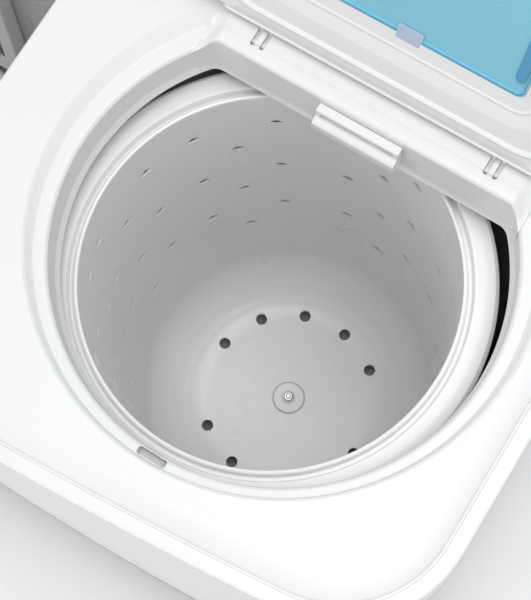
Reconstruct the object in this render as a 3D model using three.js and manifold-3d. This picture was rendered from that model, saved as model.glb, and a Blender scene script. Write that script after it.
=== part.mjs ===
// Twin-tub washing machine: wash tub on the left, spin basket on the right, both lids open.
// Millimetres. +X is the user's right, +Y the back, +Z up. The origin is the middle of the
// footprint, on the floor.
import * as THREE from "three";
import { mergeVertices } from "three/addons/utils/BufferGeometryUtils.js";
import Module from "manifold-3d";

const wasm = await Module();
wasm.setup();

// ---- driving dimensions -------------------------------------------------------------------

const WIDTH = 760;
const DEPTH = 440;
const HALF_W = WIDTH / 2;
const BACK_Y = DEPTH / 2;
const BOW_RADIUS = 3100;
const FRONT_CORNER = 82;
const BACK_CORNER = 30;
const GAP = 0.4;

const FOOT_TOP = 22;
const BASE_TOP = 60;
const SKIRT_Z = 768;
const DECK_Z = 802;
const LEDGE_Z = 795;
const LIP_Z = 798;
const PANEL_Z = 892;
const CASE_INSET = 8;

const RIM_Z = 752;
const BASKET_R = 120;
const BASKET_FLOOR_Z = 380;
const BASKET_X = 193;
const BASKET_Y = -33;
const OPEN_X = BASKET_X + 5.8;
const OPEN_Y = BASKET_Y + 8.5;
const OPEN_R = 140;
const LEDGE_R = 146;
const RECESS_X = OPEN_X - 2.3;
const RECESS_Y = OPEN_Y + 6.5;
const RECESS_R = 156.5;
const OUTER_TUB_R = 155;
const OUTER_TUB_Z = 352;

const BAR_FRONT = 67.5;
const BAR_BACK = 103.5;
const BAR_TOP = 805;
const SLOT_FRONT = 75.5;
const SLOT_BACK = 91;
const SPIN_BAR = [84, 313];
const WASH_BAR = [-349, -9];

const WASH_X0 = -352;
const WASH_X1 = -6;
const WASH_Y0 = -172;
const WASH_X = (WASH_X0 + WASH_X1) / 2;
const WASH_Y = -36;
const WASH_CORNER = 56;
const WASH_FLOOR_Z = 436;

const HINGE_Y = 80;
const HINGE_Z = 800;
const LID_OPEN_DEG = 112;
const PIN_R = 1.6;
const ARM_T = 2.2;
const ARM_PITCH = 6.6;
const SPIN_ARMS = [114.6, 277];
const WASH_ARMS = [-330, -34];
const LID_BOTTOM = 0.4;
const LID_TOP = 9.4;
const WINDOW_NEAR = 62;
const WINDOW_FAR = 209;

const KNOB_Y = 180;
const WASH_TIMER_X = -262;
const DRAIN_KNOB_X = -92;
const SPIN_TIMER_X = 262;

const MOTOR_X = -20;
const MOTOR_Y = 62;
const BELT_Z = 326;
const BIG_PULLEY_R = 78;
const SMALL_PULLEY_R = 21;

const DRUM_R = 48;
const BRAKE_PIVOT = [262, 20];
const VALVE_X = -296;
const VALVE_Y = 30;
const GLAND_X = 312;

// ---- materials ------------------------------------------------------------------------------

function finish(color, roughness, metalness = 0) {
  return new THREE.MeshStandardMaterial({ color, roughness, metalness });
}
const WHITE = finish(0xf6f6f6, 0.35);
const GREY = finish(0xb6b8ba, 0.4);
const BLUE = finish(0x86bfd6, 0.15);
const DARK = finish(0x3c3e42, 0.6);
const BLACK = finish(0x1c1c1e, 0.8);
const STEEL = finish(0xa8acb0, 0.3, 0.9);
const ZINC = finish(0x8e9296, 0.45, 0.8);

// ---- geometry helpers -----------------------------------------------------------------------

function volumeOf(position, index) {
  let volume = 0;
  const [a, b, c] = [new THREE.Vector3(), new THREE.Vector3(), new THREE.Vector3()];
  for (let i = 0; i < index.count; i += 3) {
    a.fromBufferAttribute(position, index.getX(i));
    b.fromBufferAttribute(position, index.getX(i + 1));
    c.fromBufferAttribute(position, index.getX(i + 2));
    volume += a.dot(b.cross(c)) / 6;
  }
  return volume;
}

// A closed mesh becomes a solid whose faces point outwards.
function solid(geometry) {
  const bare = geometry.clone();
  bare.deleteAttribute("normal");
  bare.deleteAttribute("uv");
  const merged = mergeVertices(bare, 1e-3);
  const triVerts = new Uint32Array(merged.index.array);
  if (volumeOf(merged.attributes.position, merged.index) < 0) {
    triVerts.reverse();
  }
  const vertProperties = new Float32Array(merged.attributes.position.array);
  return new wasm.Manifold(new wasm.Mesh({ numProp: 3, vertProperties, triVerts }));
}

function geometryOf(shape) {
  const mesh = shape.getMesh();
  const geometry = new THREE.BufferGeometry();
  geometry.setAttribute("position", new THREE.BufferAttribute(mesh.vertProperties, 3));
  geometry.setIndex(new THREE.BufferAttribute(mesh.triVerts, 1));
  geometry.computeVertexNormals();
  return geometry;
}

function join(...shapes) {
  return shapes.reduce((whole, shape) => whole.add(shape));
}

function cut(shape, ...tools) {
  return tools.reduce((rest, tool) => rest.subtract(tool), shape);
}

function box(x0, x1, y0, y1, z0, z1) {
  const geometry = new THREE.BoxGeometry(x1 - x0, y1 - y0, z1 - z0);
  geometry.translate((x0 + x1) / 2, (y0 + y1) / 2, (z0 + z1) / 2);
  return solid(geometry);
}

// A closed profile of [radius, height] points, turned about a vertical axis at (x, y).
function turned(profile, x = 0, y = 0, segments = 32) {
  const closed = [...profile, profile[0]].map(([r, z]) => new THREE.Vector2(r, z));
  const geometry = new THREE.LatheGeometry(closed, segments);
  geometry.rotateX(Math.PI / 2);
  geometry.translate(x, y, 0);
  return solid(geometry);
}

function disc(x, y, r, z0, z1, segments = 24) {
  const geometry = new THREE.CylinderGeometry(r, r, z1 - z0, segments);
  geometry.rotateX(Math.PI / 2);
  geometry.translate(x, y, (z0 + z1) / 2);
  return solid(geometry);
}

function rodX(x0, x1, y, z, r, segments = 12) {
  const geometry = new THREE.CylinderGeometry(r, r, x1 - x0, segments);
  geometry.rotateZ(Math.PI / 2);
  geometry.translate((x0 + x1) / 2, y, z);
  return solid(geometry);
}

function rodY(x, y0, y1, z, r, segments = 16) {
  const geometry = new THREE.CylinderGeometry(r, r, y1 - y0, segments);
  geometry.translate(x, (y0 + y1) / 2, z);
  return solid(geometry);
}

function prism(points, z0, z1) {
  const shape = new THREE.Shape(points);
  const geometry = new THREE.ExtrudeGeometry(shape, { depth: z1 - z0, bevelEnabled: false });
  geometry.translate(0, 0, z0);
  return solid(geometry);
}

// A profile of [y, z] points run along X.
function profileX(points, x0, x1) {
  const shape = new THREE.Shape(points.map(([y, z]) => new THREE.Vector2(y, z)));
  const geometry = new THREE.ExtrudeGeometry(shape, { depth: x1 - x0, bevelEnabled: false });
  geometry.rotateX(Math.PI / 2);
  geometry.rotateZ(Math.PI / 2);
  geometry.translate(x0, 0, 0);
  return solid(geometry);
}

// A solid that runs through outlines with equal numbers of points, one for each height.
function loft(sections) {
  const count = sections[0].points.length;
  const positions = sections.flatMap(({ points, z }) => points.flatMap((p) => [p.x, p.y, z]));
  const indices = [];
  for (let s = 0; s + 1 < sections.length; s += 1) {
    for (let i = 0; i < count; i += 1) {
      const a = s * count + i;
      const b = s * count + ((i + 1) % count);
      indices.push(a, b, b + count, a, b + count, a + count);
    }
  }
  const top = (sections.length - 1) * count;
  for (const [a, b, c] of THREE.ShapeUtils.triangulateShape(sections[0].points, [])) {
    indices.push(a, c, b);
    indices.push(top + a, top + b, top + c);
  }
  const geometry = new THREE.BufferGeometry();
  geometry.setAttribute("position", new THREE.Float32BufferAttribute(positions, 3));
  geometry.setIndex(indices);
  return solid(geometry);
}

function arc(cx, cy, r, from, to, steps) {
  return Array.from({ length: steps + 1 }, (_, i) => {
    const angle = from + ((to - from) * i) / steps;
    return new THREE.Vector2(cx + r * Math.cos(angle), cy + r * Math.sin(angle));
  });
}

// A rectangle with round corners; the two at the back may have a radius of their own.
function roundedRect(x0, x1, y0, y1, r, steps = 5, backR = r) {
  return [
    ...arc(x1 - r, y0 + r, r, -Math.PI / 2, 0, steps),
    ...arc(x1 - backR, y1 - backR, backR, 0, Math.PI / 2, steps),
    ...arc(x0 + backR, y1 - backR, backR, Math.PI / 2, Math.PI, steps),
    ...arc(x0 + r, y0 + r, r, Math.PI, Math.PI * 1.5, steps),
  ];
}

// The machine's plan, pulled in by an inset: bowed front, round corners, straight sides.
function plan(inset) {
  const cornerX = HALF_W - FRONT_CORNER;
  const bowY = BOW_RADIUS - BACK_Y;
  const reach = BOW_RADIUS - FRONT_CORNER;
  const cornerY = bowY - Math.sqrt(reach ** 2 - cornerX ** 2);
  const tilt = Math.asin(cornerX / reach);
  const backR = Math.max(BACK_CORNER - inset, 3);
  const backX = HALF_W - inset - backR;
  const backY = BACK_Y - inset - backR;
  const cornerR = FRONT_CORNER - inset;
  const down = -Math.PI / 2;
  return [
    ...arc(0, bowY, BOW_RADIUS - inset, down - tilt, down + tilt, 10),
    ...arc(cornerX, cornerY, cornerR, down + tilt, 0, 6).slice(1),
    ...arc(backX, backY, backR, 0, Math.PI / 2, 3),
    ...arc(-backX, backY, backR, Math.PI / 2, Math.PI, 3),
    ...arc(-cornerX, cornerY, cornerR, Math.PI, -down * 3 - tilt, 6).slice(0, -1),
  ];
}

// A circle cut off by a straight edge at y, with small round corners where they meet.
function dShape(cx, cy, r, y, corner, steps = 36) {
  const filletY = y - corner;
  const filletX = Math.sqrt((r - corner) ** 2 - (filletY - cy) ** 2);
  const turn = Math.atan2(filletY - cy, filletX);
  return [
    ...arc(cx + filletX, filletY, corner, turn, Math.PI / 2, 4),
    ...arc(cx - filletX, filletY, corner, Math.PI / 2, Math.PI - turn, 4),
    ...arc(cx, cy, r, Math.PI - turn, Math.PI * 2 + turn, steps).slice(1, -1),
  ];
}

const machine = new THREE.Group();

function add(name, shape, material, parent = machine) {
  const mesh = new THREE.Mesh(geometryOf(shape), material);
  mesh.name = name;
  parent.add(mesh);
}

// ---- casing -----------------------------------------------------------------------------------

function baseFrame() {
  const tray = cut(
    prism(plan(CASE_INSET), FOOT_TOP + GAP, BASE_TOP),
    prism(plan(CASE_INSET + 4), FOOT_TOP + 6, BASE_TOP + 1),
  );
  const vents = [-1, 0, 1].map((i) => box(-230 + i * 46, -204 + i * 46, -130, 40, 0, 40));
  const cups = mountPlaces().map(([x, y]) => disc(x, y, 16, FOOT_TOP + 5, 40, 16));
  return cut(join(tray, ...cups), ...vents, disc(BASKET_X, BASKET_Y, 40, 0, 50));
}

function foot() {
  return turned([[0, 0], [17, 0], [20, 3], [17, FOOT_TOP], [0, FOOT_TOP]], 0, 0, 12);
}

function cabinetShell() {
  const wall = cut(
    prism(plan(CASE_INSET), BASE_TOP + GAP, LEDGE_Z - 6),
    prism(plan(CASE_INSET + 3), BASE_TOP - 1, LEDGE_Z),
  );
  return cut(wall, box(-335, 335, 200, 230, 92, 738));
}

function rearCover() {
  const plate = prism(roundedRect(-345, 345, 80, 750, 12, 3), 0, 2.4);
  const upright = plate.rotate([90, 0, 0]).translate([0, 215, 0]);
  const vents = [0, 1, 2, 3].map((i) => box(120, 270, 205, 220, 140 + i * 26, 150 + i * 26));
  const outlet = rodY(VALVE_X, 205, 220, 150, 18);
  const gland = rodY(GLAND_X, 205, 220, 120, 8.4, 12);
  return cut(upright, ...vents, outlet, gland);
}

function topFrame() {
  const body = join(
    prism(plan(0), SKIRT_Z, LIP_Z),
    loft([
      { points: plan(10.5), z: LIP_Z - 2 },
      { points: plan(12), z: LIP_Z + 1.5 },
      { points: plan(26.6), z: DECK_Z },
    ]),
  );
  const hollow = join(
    prism(plan(4), SKIRT_Z - 1, LIP_Z - 4),
    prism(plan(28), LIP_Z - 5, DECK_Z - 3.5),
  );
  const recess = loft([
    { points: dShape(OPEN_X, OPEN_Y, LEDGE_R, BAR_BACK + 0.5, 10), z: LEDGE_Z },
    { points: dShape(RECESS_X, RECESS_Y, RECESS_R, BAR_BACK + 0.6, 10), z: DECK_Z + 0.1 },
  ]);
  const ledge = join(
    disc(RECESS_X, RECESS_Y, RECESS_R + 3, LEDGE_Z - 3, DECK_Z - 1, 40),
    disc(OPEN_X, OPEN_Y, OPEN_R + 3, RIM_Z + 14, LEDGE_Z - 1, 40),
  );
  const washHole = (grow) => roundedRect(
    WASH_X0 - grow, WASH_X1 + grow, WASH_Y0 - grow, BAR_BACK + 0.5 + grow, WASH_CORNER + grow,
    5, 2 + grow,
  );
  const washWall = prism(washHole(2.5), LEDGE_Z - 10, DECK_Z - 1);
  const catchSlot = box(OPEN_X - 9.6, OPEN_X + 9.6, OPEN_Y - 146.4, OPEN_Y - 141.6, 780, 800);
  return cut(
    join(cut(body, hollow), ledge, washWall),
    recess,
    disc(OPEN_X, OPEN_Y, OPEN_R, RIM_Z + 10, DECK_Z + 1, 48),
    box(SPIN_BAR[0] - GAP, SPIN_BAR[1] + GAP, 49.6, BAR_BACK + 0.5, SKIRT_Z - 5, DECK_Z + 1),
    prism(washHole(0), LEDGE_Z - 12, DECK_Z + 1),
    catchSlot,
    box(-300, 300, 118, 204, LEDGE_Z - 5, DECK_Z + 1),
  );
}

// The back bar of an opening: a hollow box with hinge slots, open at the rear.
function hingeBar(x0, x1, y0, z0, arms, front) {
  const chamfer = 4;
  const whole = profileX(
    [
      [y0, z0], [BAR_BACK, z0], [BAR_BACK, BAR_TOP], [front + chamfer, BAR_TOP],
      [front, BAR_TOP - chamfer], [y0, BAR_TOP - chamfer],
    ],
    x0, x1,
  );
  const inside = box(x0 + 3, x1 - 3, front + 2.5, BAR_BACK + 1, z0 + 2.5, BAR_TOP - 2.2);
  const slots = arms.flatMap((x) => [0, ARM_PITCH].map((shift) => box(
    x + shift - 0.4, x + shift + ARM_T + 0.6, SLOT_FRONT, SLOT_BACK, BAR_TOP - 6, BAR_TOP + 1,
  )));
  return cut(whole, inside, ...slots);
}

function spinHingeBar() {
  const bottom = RIM_Z + 14;
  const bar = hingeBar(SPIN_BAR[0], SPIN_BAR[1], 50, bottom, SPIN_ARMS, BAR_FRONT);
  const opening = dShape(OPEN_X, OPEN_Y, OPEN_R, BAR_FRONT, 13);
  const overRecess = prism(dShape(OPEN_X, OPEN_Y, LEDGE_R + 1.5, BAR_FRONT, 13),
    LEDGE_Z, BAR_TOP + 1);
  const spoutPort = box(176, 222, BAR_FRONT - 1, BAR_FRONT + 6, 782, 791);
  return cut(bar, prism(opening, bottom - 5, BAR_TOP + 1), overRecess, spoutPort);
}

function washHingeBar() {
  const bottom = 779;
  const bar = hingeBar(WASH_BAR[0], WASH_BAR[1], BAR_FRONT, bottom, WASH_ARMS, BAR_FRONT);
  return cut(bar, box(WASH_X - 36, WASH_X + 36, BAR_FRONT - 1, BAR_FRONT + 6, 784, 796));
}

// A rinse spout: a flat box mouth with a longer lower lip.
function spout(x, width, z0, z1, reach) {
  const half = width / 2;
  const y = BAR_FRONT - GAP;
  const outer = profileX(
    [[y, z0], [y, z1], [y - reach + 2, z1], [y - reach, z1 - 5], [y - reach - 2, z0 + 3],
      [y - reach, z0]],
    x - half, x + half,
  );
  return cut(outer, box(x - half + 5, x + half - 5, y - reach - 5, y + 1, z0 + 5.5, z1 - 6));
}

function controlHousing() {
  const outer = [[98, 805.6], [96.8, 808], [129, 887], [134, PANEL_Z], [212, PANEL_Z],
    [219.5, 886], [219.5, DECK_Z + GAP], [104.5, DECK_Z + GAP], [104.5, 805.6]];
  const inner = [[107, 800], [107, 811], [133, 885], [138, 889], [211, 889], [216.5, 884],
    [216.5, 800]];
  const outside = profileX(outer, 1 - HALF_W, HALF_W - 1).intersect(prism(plan(1), 790, 900));
  const inside = profileX(inner, 4 - HALF_W, HALF_W - 4).intersect(prism(plan(4), 790, 900));
  const fasciaHole = box(-338, 338, 148, 206, 880, 900);
  return cut(outside, inside, fasciaHole);
}

function controlFascia() {
  const plate = prism(roundedRect(-346, 346, 142, 211, 8, 3), PANEL_Z + GAP, PANEL_Z + 2.6);
  const holes = [WASH_TIMER_X, DRAIN_KNOB_X, SPIN_TIMER_X]
    .map((x) => disc(x, KNOB_Y, 6, 880, 900, 12));
  return cut(plate, ...holes, disc(90, KNOB_Y, 9, 880, 900, 16));
}

function waterInlet() {
  const nipple = turned(
    [[4, 880], [14, 880], [14, 890], [8.5, 890], [8.5, 908], [10, 910], [8, 915], [4, 915]],
    90, KNOB_Y, 16,
  );
  const channel = cut(box(40, 140, 170, 190, 858, 880), box(44, 136, 173, 187, 861, 877));
  const mouth = box(44, 60, 160, 180, 861, 877);
  return cut(join(nipple, channel), disc(90, KNOB_Y, 4, 870, 890, 16), mouth);
}

// ---- controls ---------------------------------------------------------------------------------

function timerBody(width, depth) {
  const half = width / 2;
  const top = PANEL_Z;
  const body = box(-half, half, KNOB_Y - half, KNOB_Y + half, top - depth, top);
  return cut(body, disc(0, KNOB_Y, 5, top - 24, top + 5, 10));
}

function knob(radius) {
  const skirt = turned(
    [[0, 895.2], [radius, 895.2], [radius, 899], [radius - 3, 903], [0, 903]], 0, KNOB_Y, 28,
  );
  const grip = box(-3.5, 3.5, KNOB_Y - radius + 4, KNOB_Y + radius - 4, 902, 914);
  return join(skirt, grip, disc(0, KNOB_Y, 3.5, 870, 896, 12));
}

function lidSwitch() {
  return cut(box(322, 346, 128, 148, 816, 846), box(326, 342, 120, 136, 822, 840));
}

function lidSwitchLever() {
  const arm = box(331, 337, 114, 128, 824, 827);
  return join(arm, rodX(329, 339, 130, 826, 3, 10), box(331, 337, 127, 130, 824, 827));
}

function capacitor() {
  return turned([[0, 0], [20, 0], [20, 66], [17, 70], [0, 70]], 0, 0, 18);
}

// ---- wash side --------------------------------------------------------------------------------

function washTub() {
  const outline = (grow, z) => ({
    points: roundedRect(
      WASH_X0 + 1 - grow, WASH_X1 - 1 + grow, WASH_Y0 + 1 - grow, 97 + grow, WASH_CORNER + grow,
    ),
    z,
  });
  const outer = loft([
    outline(-30, WASH_FLOOR_Z - 4), outline(-14, WASH_FLOOR_Z + 6), outline(2.5, 768),
  ]);
  const inner = loft([
    outline(-44, WASH_FLOOR_Z), outline(-18, WASH_FLOOR_Z + 16), outline(0, 769),
  ]);
  const flange = cut(
    prism(outline(8, 0).points, 764, 768),
    prism(outline(1, 0).points, 760, 770),
  );
  const filterSlot = box(WASH_X0 - 6, WASH_X0 + 20, -46, -14, 580, 620);
  const boss = disc(WASH_X, WASH_Y, 34, WASH_FLOOR_Z - 12, WASH_FLOOR_Z, 20);
  return cut(
    join(outer, boss).subtract(inner).add(flange),
    disc(WASH_X, WASH_Y, 13, 400, 470, 16),
    disc(VALVE_X, VALVE_Y, 17, 400, 470, 16),
    filterSlot,
  );
}

function pulsator() {
  const dish = turned(
    [[0, 446], [60, 446], [104, 454], [110, 459], [105, 462], [60, 455], [30, 462], [24, 474],
      [0, 474]],
    WASH_X, WASH_Y, 32,
  );
  const vane = profileX([[0, 450], [100, 456], [96, 465], [24, 473], [0, 473]], -5, 5);
  const vanes = [0, 90, 180, 270].map((deg) => vane
    .rotate([0, 0, deg]).translate([WASH_X, WASH_Y, 0]));
  const bore = disc(WASH_X, WASH_Y, 8.4, 440, 468, 16);
  return cut(join(dish, ...vanes), bore, disc(WASH_X, WASH_Y, 3.4, 460, 480, 12));
}

function washGearbox() {
  const body = turned(
    [[13.5, 350], [58, 350], [62, 356], [62, 400], [40, 412], [24, 421], [13.5, 421]],
    WASH_X, WASH_Y, 20,
  );
  const ears = [45, 135, 225, 315].map((deg) => {
    const turn = THREE.MathUtils.degToRad(deg);
    return disc(WASH_X + 66 * Math.cos(turn), WASH_Y + 66 * Math.sin(turn), 11, 392, 400, 12);
  });
  return join(body, ...ears);
}

// A V pulley on a stub of shaft; the web between hub and rim is thin.
function pulley(x, y, radius, hub, shaftR, shaftZ0, shaftZ1) {
  const [z, groove, rim] = [BELT_Z, radius - 6, Math.max(radius - 14, hub + 1)];
  const wheel = turned(
    [[0, z - 12], [hub, z - 12], [hub, z - 3], [rim, z - 3], [rim + 1, z - 9], [radius, z - 9],
      [groove, z - 2], [groove, z + 2], [radius, z + 9], [rim + 1, z + 9], [rim, z + 3],
      [hub, z + 3], [hub, z + 12], [0, z + 12]],
    x, y, 24,
  );
  return join(wheel, disc(x, y, shaftR, shaftZ0, shaftZ1, 12));
}

// The belt's outline round two pulleys of different size.
function beltOutline(grow) {
  const dx = MOTOR_X - WASH_X;
  const dy = MOTOR_Y - WASH_Y;
  const big = BIG_PULLEY_R - 4 + grow;
  const small = SMALL_PULLEY_R - 4 + grow;
  const line = Math.atan2(dy, dx);
  const open = Math.acos((big - small) / Math.hypot(dx, dy));
  return [
    ...arc(WASH_X, WASH_Y, big, line + open, line + Math.PI * 2 - open, 24),
    ...arc(MOTOR_X, MOTOR_Y, small, line - open, line + open, 10),
  ];
}

function driveBelt() {
  return cut(
    prism(beltOutline(5), BELT_Z - 1.5, BELT_Z + 1.5),
    prism(beltOutline(-1.4), BELT_Z - 3, BELT_Z + 3),
  );
}

function motor(x, y, radius, z0, z1) {
  return turned(
    [[0, z0], [radius - 16, z0], [radius - 12, z0 + 10], [radius - 4, z0 + 14], [radius - 4, z0 + 34],
      [radius, z0 + 35], [radius, z1 - 35], [radius - 4, z1 - 34], [radius - 4, z1 - 14],
      [radius - 12, z1 - 10], [radius - 16, z1], [0, z1]],
    x, y, 20,
  );
}

function washMotorBracket() {
  const plate = prism(roundedRect(-92, 52, -10, 134, 10, 3), 176, 180);
  const legs = [[-88, 0], [36, 0], [-88, 118], [36, 118]]
    .map(([x, y]) => box(x, x + 12, y, y + 12, FOOT_TOP + 6.4, 177));
  return cut(join(plate, ...legs), disc(MOTOR_X, MOTOR_Y, 24, 170, 190));
}

function lintFilter() {
  const frame = box(WASH_X0 + 14, WASH_X0 + 32, -56, -4, 566, 634);
  return cut(frame, box(WASH_X0 + 17, WASH_X0 + 40, -51, -9, 571, 640));
}

function overflowCover() {
  const plate = profileX([[66, 480], [79.8, 480], [92.3, 700], [78, 700]], -240, -118);
  const slots = [0, 1, 2, 3, 4, 5].map((i) => box(-229 + i * 18, -221 + i * 18, 60, 88, 500, 640));
  const hollow = profileX([[69, 484], [100, 484], [100, 696], [81, 696]], -237, -121);
  return cut(plate, hollow, ...slots);
}

function drainValveBody() {
  return cut(
    turned([[0, 380], [25, 380], [27, 384], [27, 431], [0, 431]], VALVE_X, VALVE_Y, 20),
    disc(VALVE_X, VALVE_Y, 23, 384, 440, 20),
    rodY(VALVE_X, VALVE_Y, VALVE_Y + 40, 400, 11),
    disc(VALVE_X, VALVE_Y, 3.4, 370, 390, 10),
  );
}

function drainValvePlunger() {
  return join(
    disc(VALVE_X, VALVE_Y, 15, 426, 431, 16),
    disc(VALVE_X, VALVE_Y, 9, 420, 427, 16),
    disc(VALVE_X, VALVE_Y, 2.6, 366, 421, 10),
  );
}

function tubeAlong(points, radius, steps) {
  const path = new THREE.CatmullRomCurve3(points.map((p) => new THREE.Vector3(...p)));
  const section = new THREE.Shape(arc(0, 0, radius, 0, Math.PI * 2, 8).slice(0, -1));
  return solid(new THREE.ExtrudeGeometry(section, { steps, extrudePath: path }));
}

function drainPipe() {
  const main = tubeAlong(
    [[VALVE_X, VALVE_Y + 28, 400], [VALVE_X, 92, 398], [VALVE_X, 140, 370], [VALVE_X, 165, 300],
      [VALVE_X, 168, 220], [VALVE_X, 180, 165], [VALVE_X, 204, 150], [VALVE_X, 219, 150]],
    10, 22,
  );
  const branch = tubeAlong(
    [[BASKET_X - 60, 118, 341], [BASKET_X - 80, 150, 332], [60, 172, 318], [-60, 172, 306],
      [-200, 170, 296], [VALVE_X, 165, 290]],
    8, 18,
  );
  return cut(join(main, branch), rodY(VALVE_X, 205, 225, 150, 7.5, 12));
}

// ---- spin side --------------------------------------------------------------------------------

function outerSpinTub() {
  const r = OUTER_TUB_R;
  const wall = turned(
    [[0, OUTER_TUB_Z], [118, OUTER_TUB_Z], [r, OUTER_TUB_Z + 20], [r + 2.5, 758],
      [r + 9, 758], [r + 9, 761], [r, 761], [r - 2.5, OUTER_TUB_Z + 22],
      [117, OUTER_TUB_Z + 3], [0, OUTER_TUB_Z + 3]],
    OPEN_X, OPEN_Y, 36,
  );
  const shaftHole = disc(BASKET_X, BASKET_Y, 38, 340, 362, 20);
  return cut(wall, shaftHole, disc(BASKET_X - 60, 66, 8, 340, 362, 10));
}

// Wall slits sit in five groups, each of three columns that are staggered by half a step.
function basketSlits() {
  const centres = [82.9, 133.9, 179.5, 217.8, 37.3];
  const pitch = 0.668 * BASKET_R;
  const topRow = RIM_Z - 0.37 * BASKET_R;
  return centres.flatMap((centre) => [-1, 0, 1].flatMap((column) => [0, 1, 2].map((row) => {
    const drop = (row + (column === 0 ? 0.5 : 0)) * pitch;
    const hole = new THREE.BoxGeometry(6.6, 20, 2.8);
    hole.translate(0, BASKET_R, 0);
    hole.rotateZ(THREE.MathUtils.degToRad(centre + column * 13.7 - 90));
    hole.translate(BASKET_X, BASKET_Y, topRow - drop);
    return solid(hole);
  })));
}

function spinBasket() {
  const z = BASKET_FLOOR_Z;
  const shell = turned(
    [[0, z - 3], [22, z - 3], [66, z - 3], [104, z + 14], [117.5, z + 46], [122.4, 742],
      [122.4, RIM_Z], [120, RIM_Z], [120, 738], [115, z + 46], [102, z + 16], [66, z], [0, z]],
    BASKET_X, BASKET_Y, 36,
  );
  const hub = disc(BASKET_X, BASKET_Y, 21, z - 15, z - 2, 20);
  const drains = [50.2, 80.2, 110.2, 140.2, 170.2, 230.2, 260.2, 290.2, 320.2, 350.2]
    .map((deg) => {
      const turn = THREE.MathUtils.degToRad(deg);
      const reach = 0.595 * BASKET_R;
      return disc(BASKET_X + reach * Math.cos(turn), BASKET_Y + reach * Math.sin(turn), 4.8,
        z - 10, z + 20, 6);
    });
  return cut(
    join(shell, hub),
    disc(BASKET_X, BASKET_Y, 8.2, z - 20, z - 4.5, 16),
    disc(BASKET_X, BASKET_Y, 3.4, z - 10, z + 5, 12),
    ...drains,
    ...basketSlits(),
  );
}

function balanceRing() {
  return turned(
    [[122.9, 706], [138, 706], [142, 711], [142, 746], [139, RIM_Z - 3], [129, RIM_Z - 0.5],
      [126.4, RIM_Z - 0.5],
      [124.6, RIM_Z - 4], [122.9, RIM_Z - 4]],
    BASKET_X, BASKET_Y, 40,
  );
}

function basketWasher() {
  const z = BASKET_FLOOR_Z + GAP;
  return turned([[3.6, z], [12.7, z], [12.2, z + 1.6], [3.6, z + 1.6]], BASKET_X, BASKET_Y, 24);
}

function basketBolt() {
  const z = BASKET_FLOOR_Z + 2.6;
  return turned(
    [[0, z - 6], [2.9, z - 6], [2.9, z], [5.2, z], [5.2, z + 2.6], [3.8, z + 4], [0, z + 4.6]],
    BASKET_X, BASKET_Y, 12,
  );
}

function spinShaft() {
  return turned(
    [[0, 246], [7.5, 246], [7.5, 345], [7.5, BASKET_FLOOR_Z - 7], [0, BASKET_FLOOR_Z - 7]],
    BASKET_X, BASKET_Y, 16,
  );
}

function bellowsSeal() {
  return turned(
    [[8.2, 322], [14, 322], [18, 328], [14, 334], [24, 340], [20, 345], [34, 348.5],
      [36, OUTER_TUB_Z - 0.5], [36, OUTER_TUB_Z + 2], [32, OUTER_TUB_Z + 2], [18, 348],
      [20, 341], [10.5, 335], [14, 328], [11, 326], [8.2, 326]],
    BASKET_X, BASKET_Y, 16,
  );
}

function mountPlaces() {
  return [90, 210, 330].map((deg) => {
    const turn = THREE.MathUtils.degToRad(deg);
    return [BASKET_X + 78 * Math.cos(turn), BASKET_Y + 78 * Math.sin(turn)];
  });
}

function mountSpring() {
  const turns = 4;
  const points = Array.from({ length: turns * 8 + 1 }, (_, i) => {
    const angle = (i / 8) * Math.PI * 2;
    return [11 * Math.cos(angle), 11 * Math.sin(angle), 44 + (72 * i) / (turns * 8)];
  });
  const path = new THREE.CatmullRomCurve3(points.map((p) => new THREE.Vector3(...p)));
  const section = new THREE.Shape(arc(0, 0, 2.2, 0, Math.PI * 2, 5).slice(0, -1));
  return solid(new THREE.ExtrudeGeometry(section, { steps: turns * 8, extrudePath: path }));
}

function spinMotorPlate() {
  const [postX, postY] = BRAKE_PIVOT;
  const corners = mountPlaces();
  const pads = corners.map(([x, y]) => disc(x, y, 20, 120, 124, 16));
  return join(
    cut(disc(BASKET_X, BASKET_Y, 90, 120, 124, 28), disc(BASKET_X, BASKET_Y, 30, 110, 130)),
    ...pads,
    disc(postX, postY, 9, 120, 250, 12),
    disc(postX, postY, 4, 249, 282, 12),
  );
}

function brakeDrum() {
  return turned(
    [[7.9, 252], [14, 252], [14, 260], [DRUM_R, 260], [DRUM_R, 282], [DRUM_R - 4, 282],
      [DRUM_R - 4, 264], [14, 264], [14, 274], [7.9, 274]],
    BASKET_X, BASKET_Y, 24,
  );
}

function brakeLever() {
  const [x, y] = BRAKE_PIVOT;
  const arm = box(x - 12, x - 6, -85, y, 264, 276);
  const hub = disc(x, y, 10, 264, 276, 16);
  const pad = box(x - 20.5, x - 11, -49, -17, 264, 276);
  const drumClear = disc(BASKET_X, BASKET_Y, DRUM_R + GAP, 250, 290, 40);
  return cut(join(arm, hub, pad), drumClear, disc(x, y, 4.4, 260, 280, 12));
}

// ---- lids, built closed about their hinge axis and then swung open ---------------------------

// The lid's hinge arms: goosenecks that reach over the bar's edge and round the pin.
function hingeArms(places) {
  const arm = cut(
    profileX([[-16, 5.6], [-3, 5.6], [-3.6, 0], [-2, -3], [2, -3], [3.6, 0], [3.6, 6.5],
      [2, 8], [-16, 8]], 0, ARM_T),
    rodX(-1, ARM_T + 1, 0, 0, PIN_R + 0.4, 10),
  );
  return places.flatMap((x) => [0, ARM_PITCH].map((shift) => arm.translate([x + shift, 0, 0])));
}

function windowOutline(x, half, grow) {
  return roundedRect(x - half - grow, x + half + grow, -WINDOW_FAR - grow,
    -WINDOW_NEAR + grow, 5 + grow, 4);
}

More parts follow.
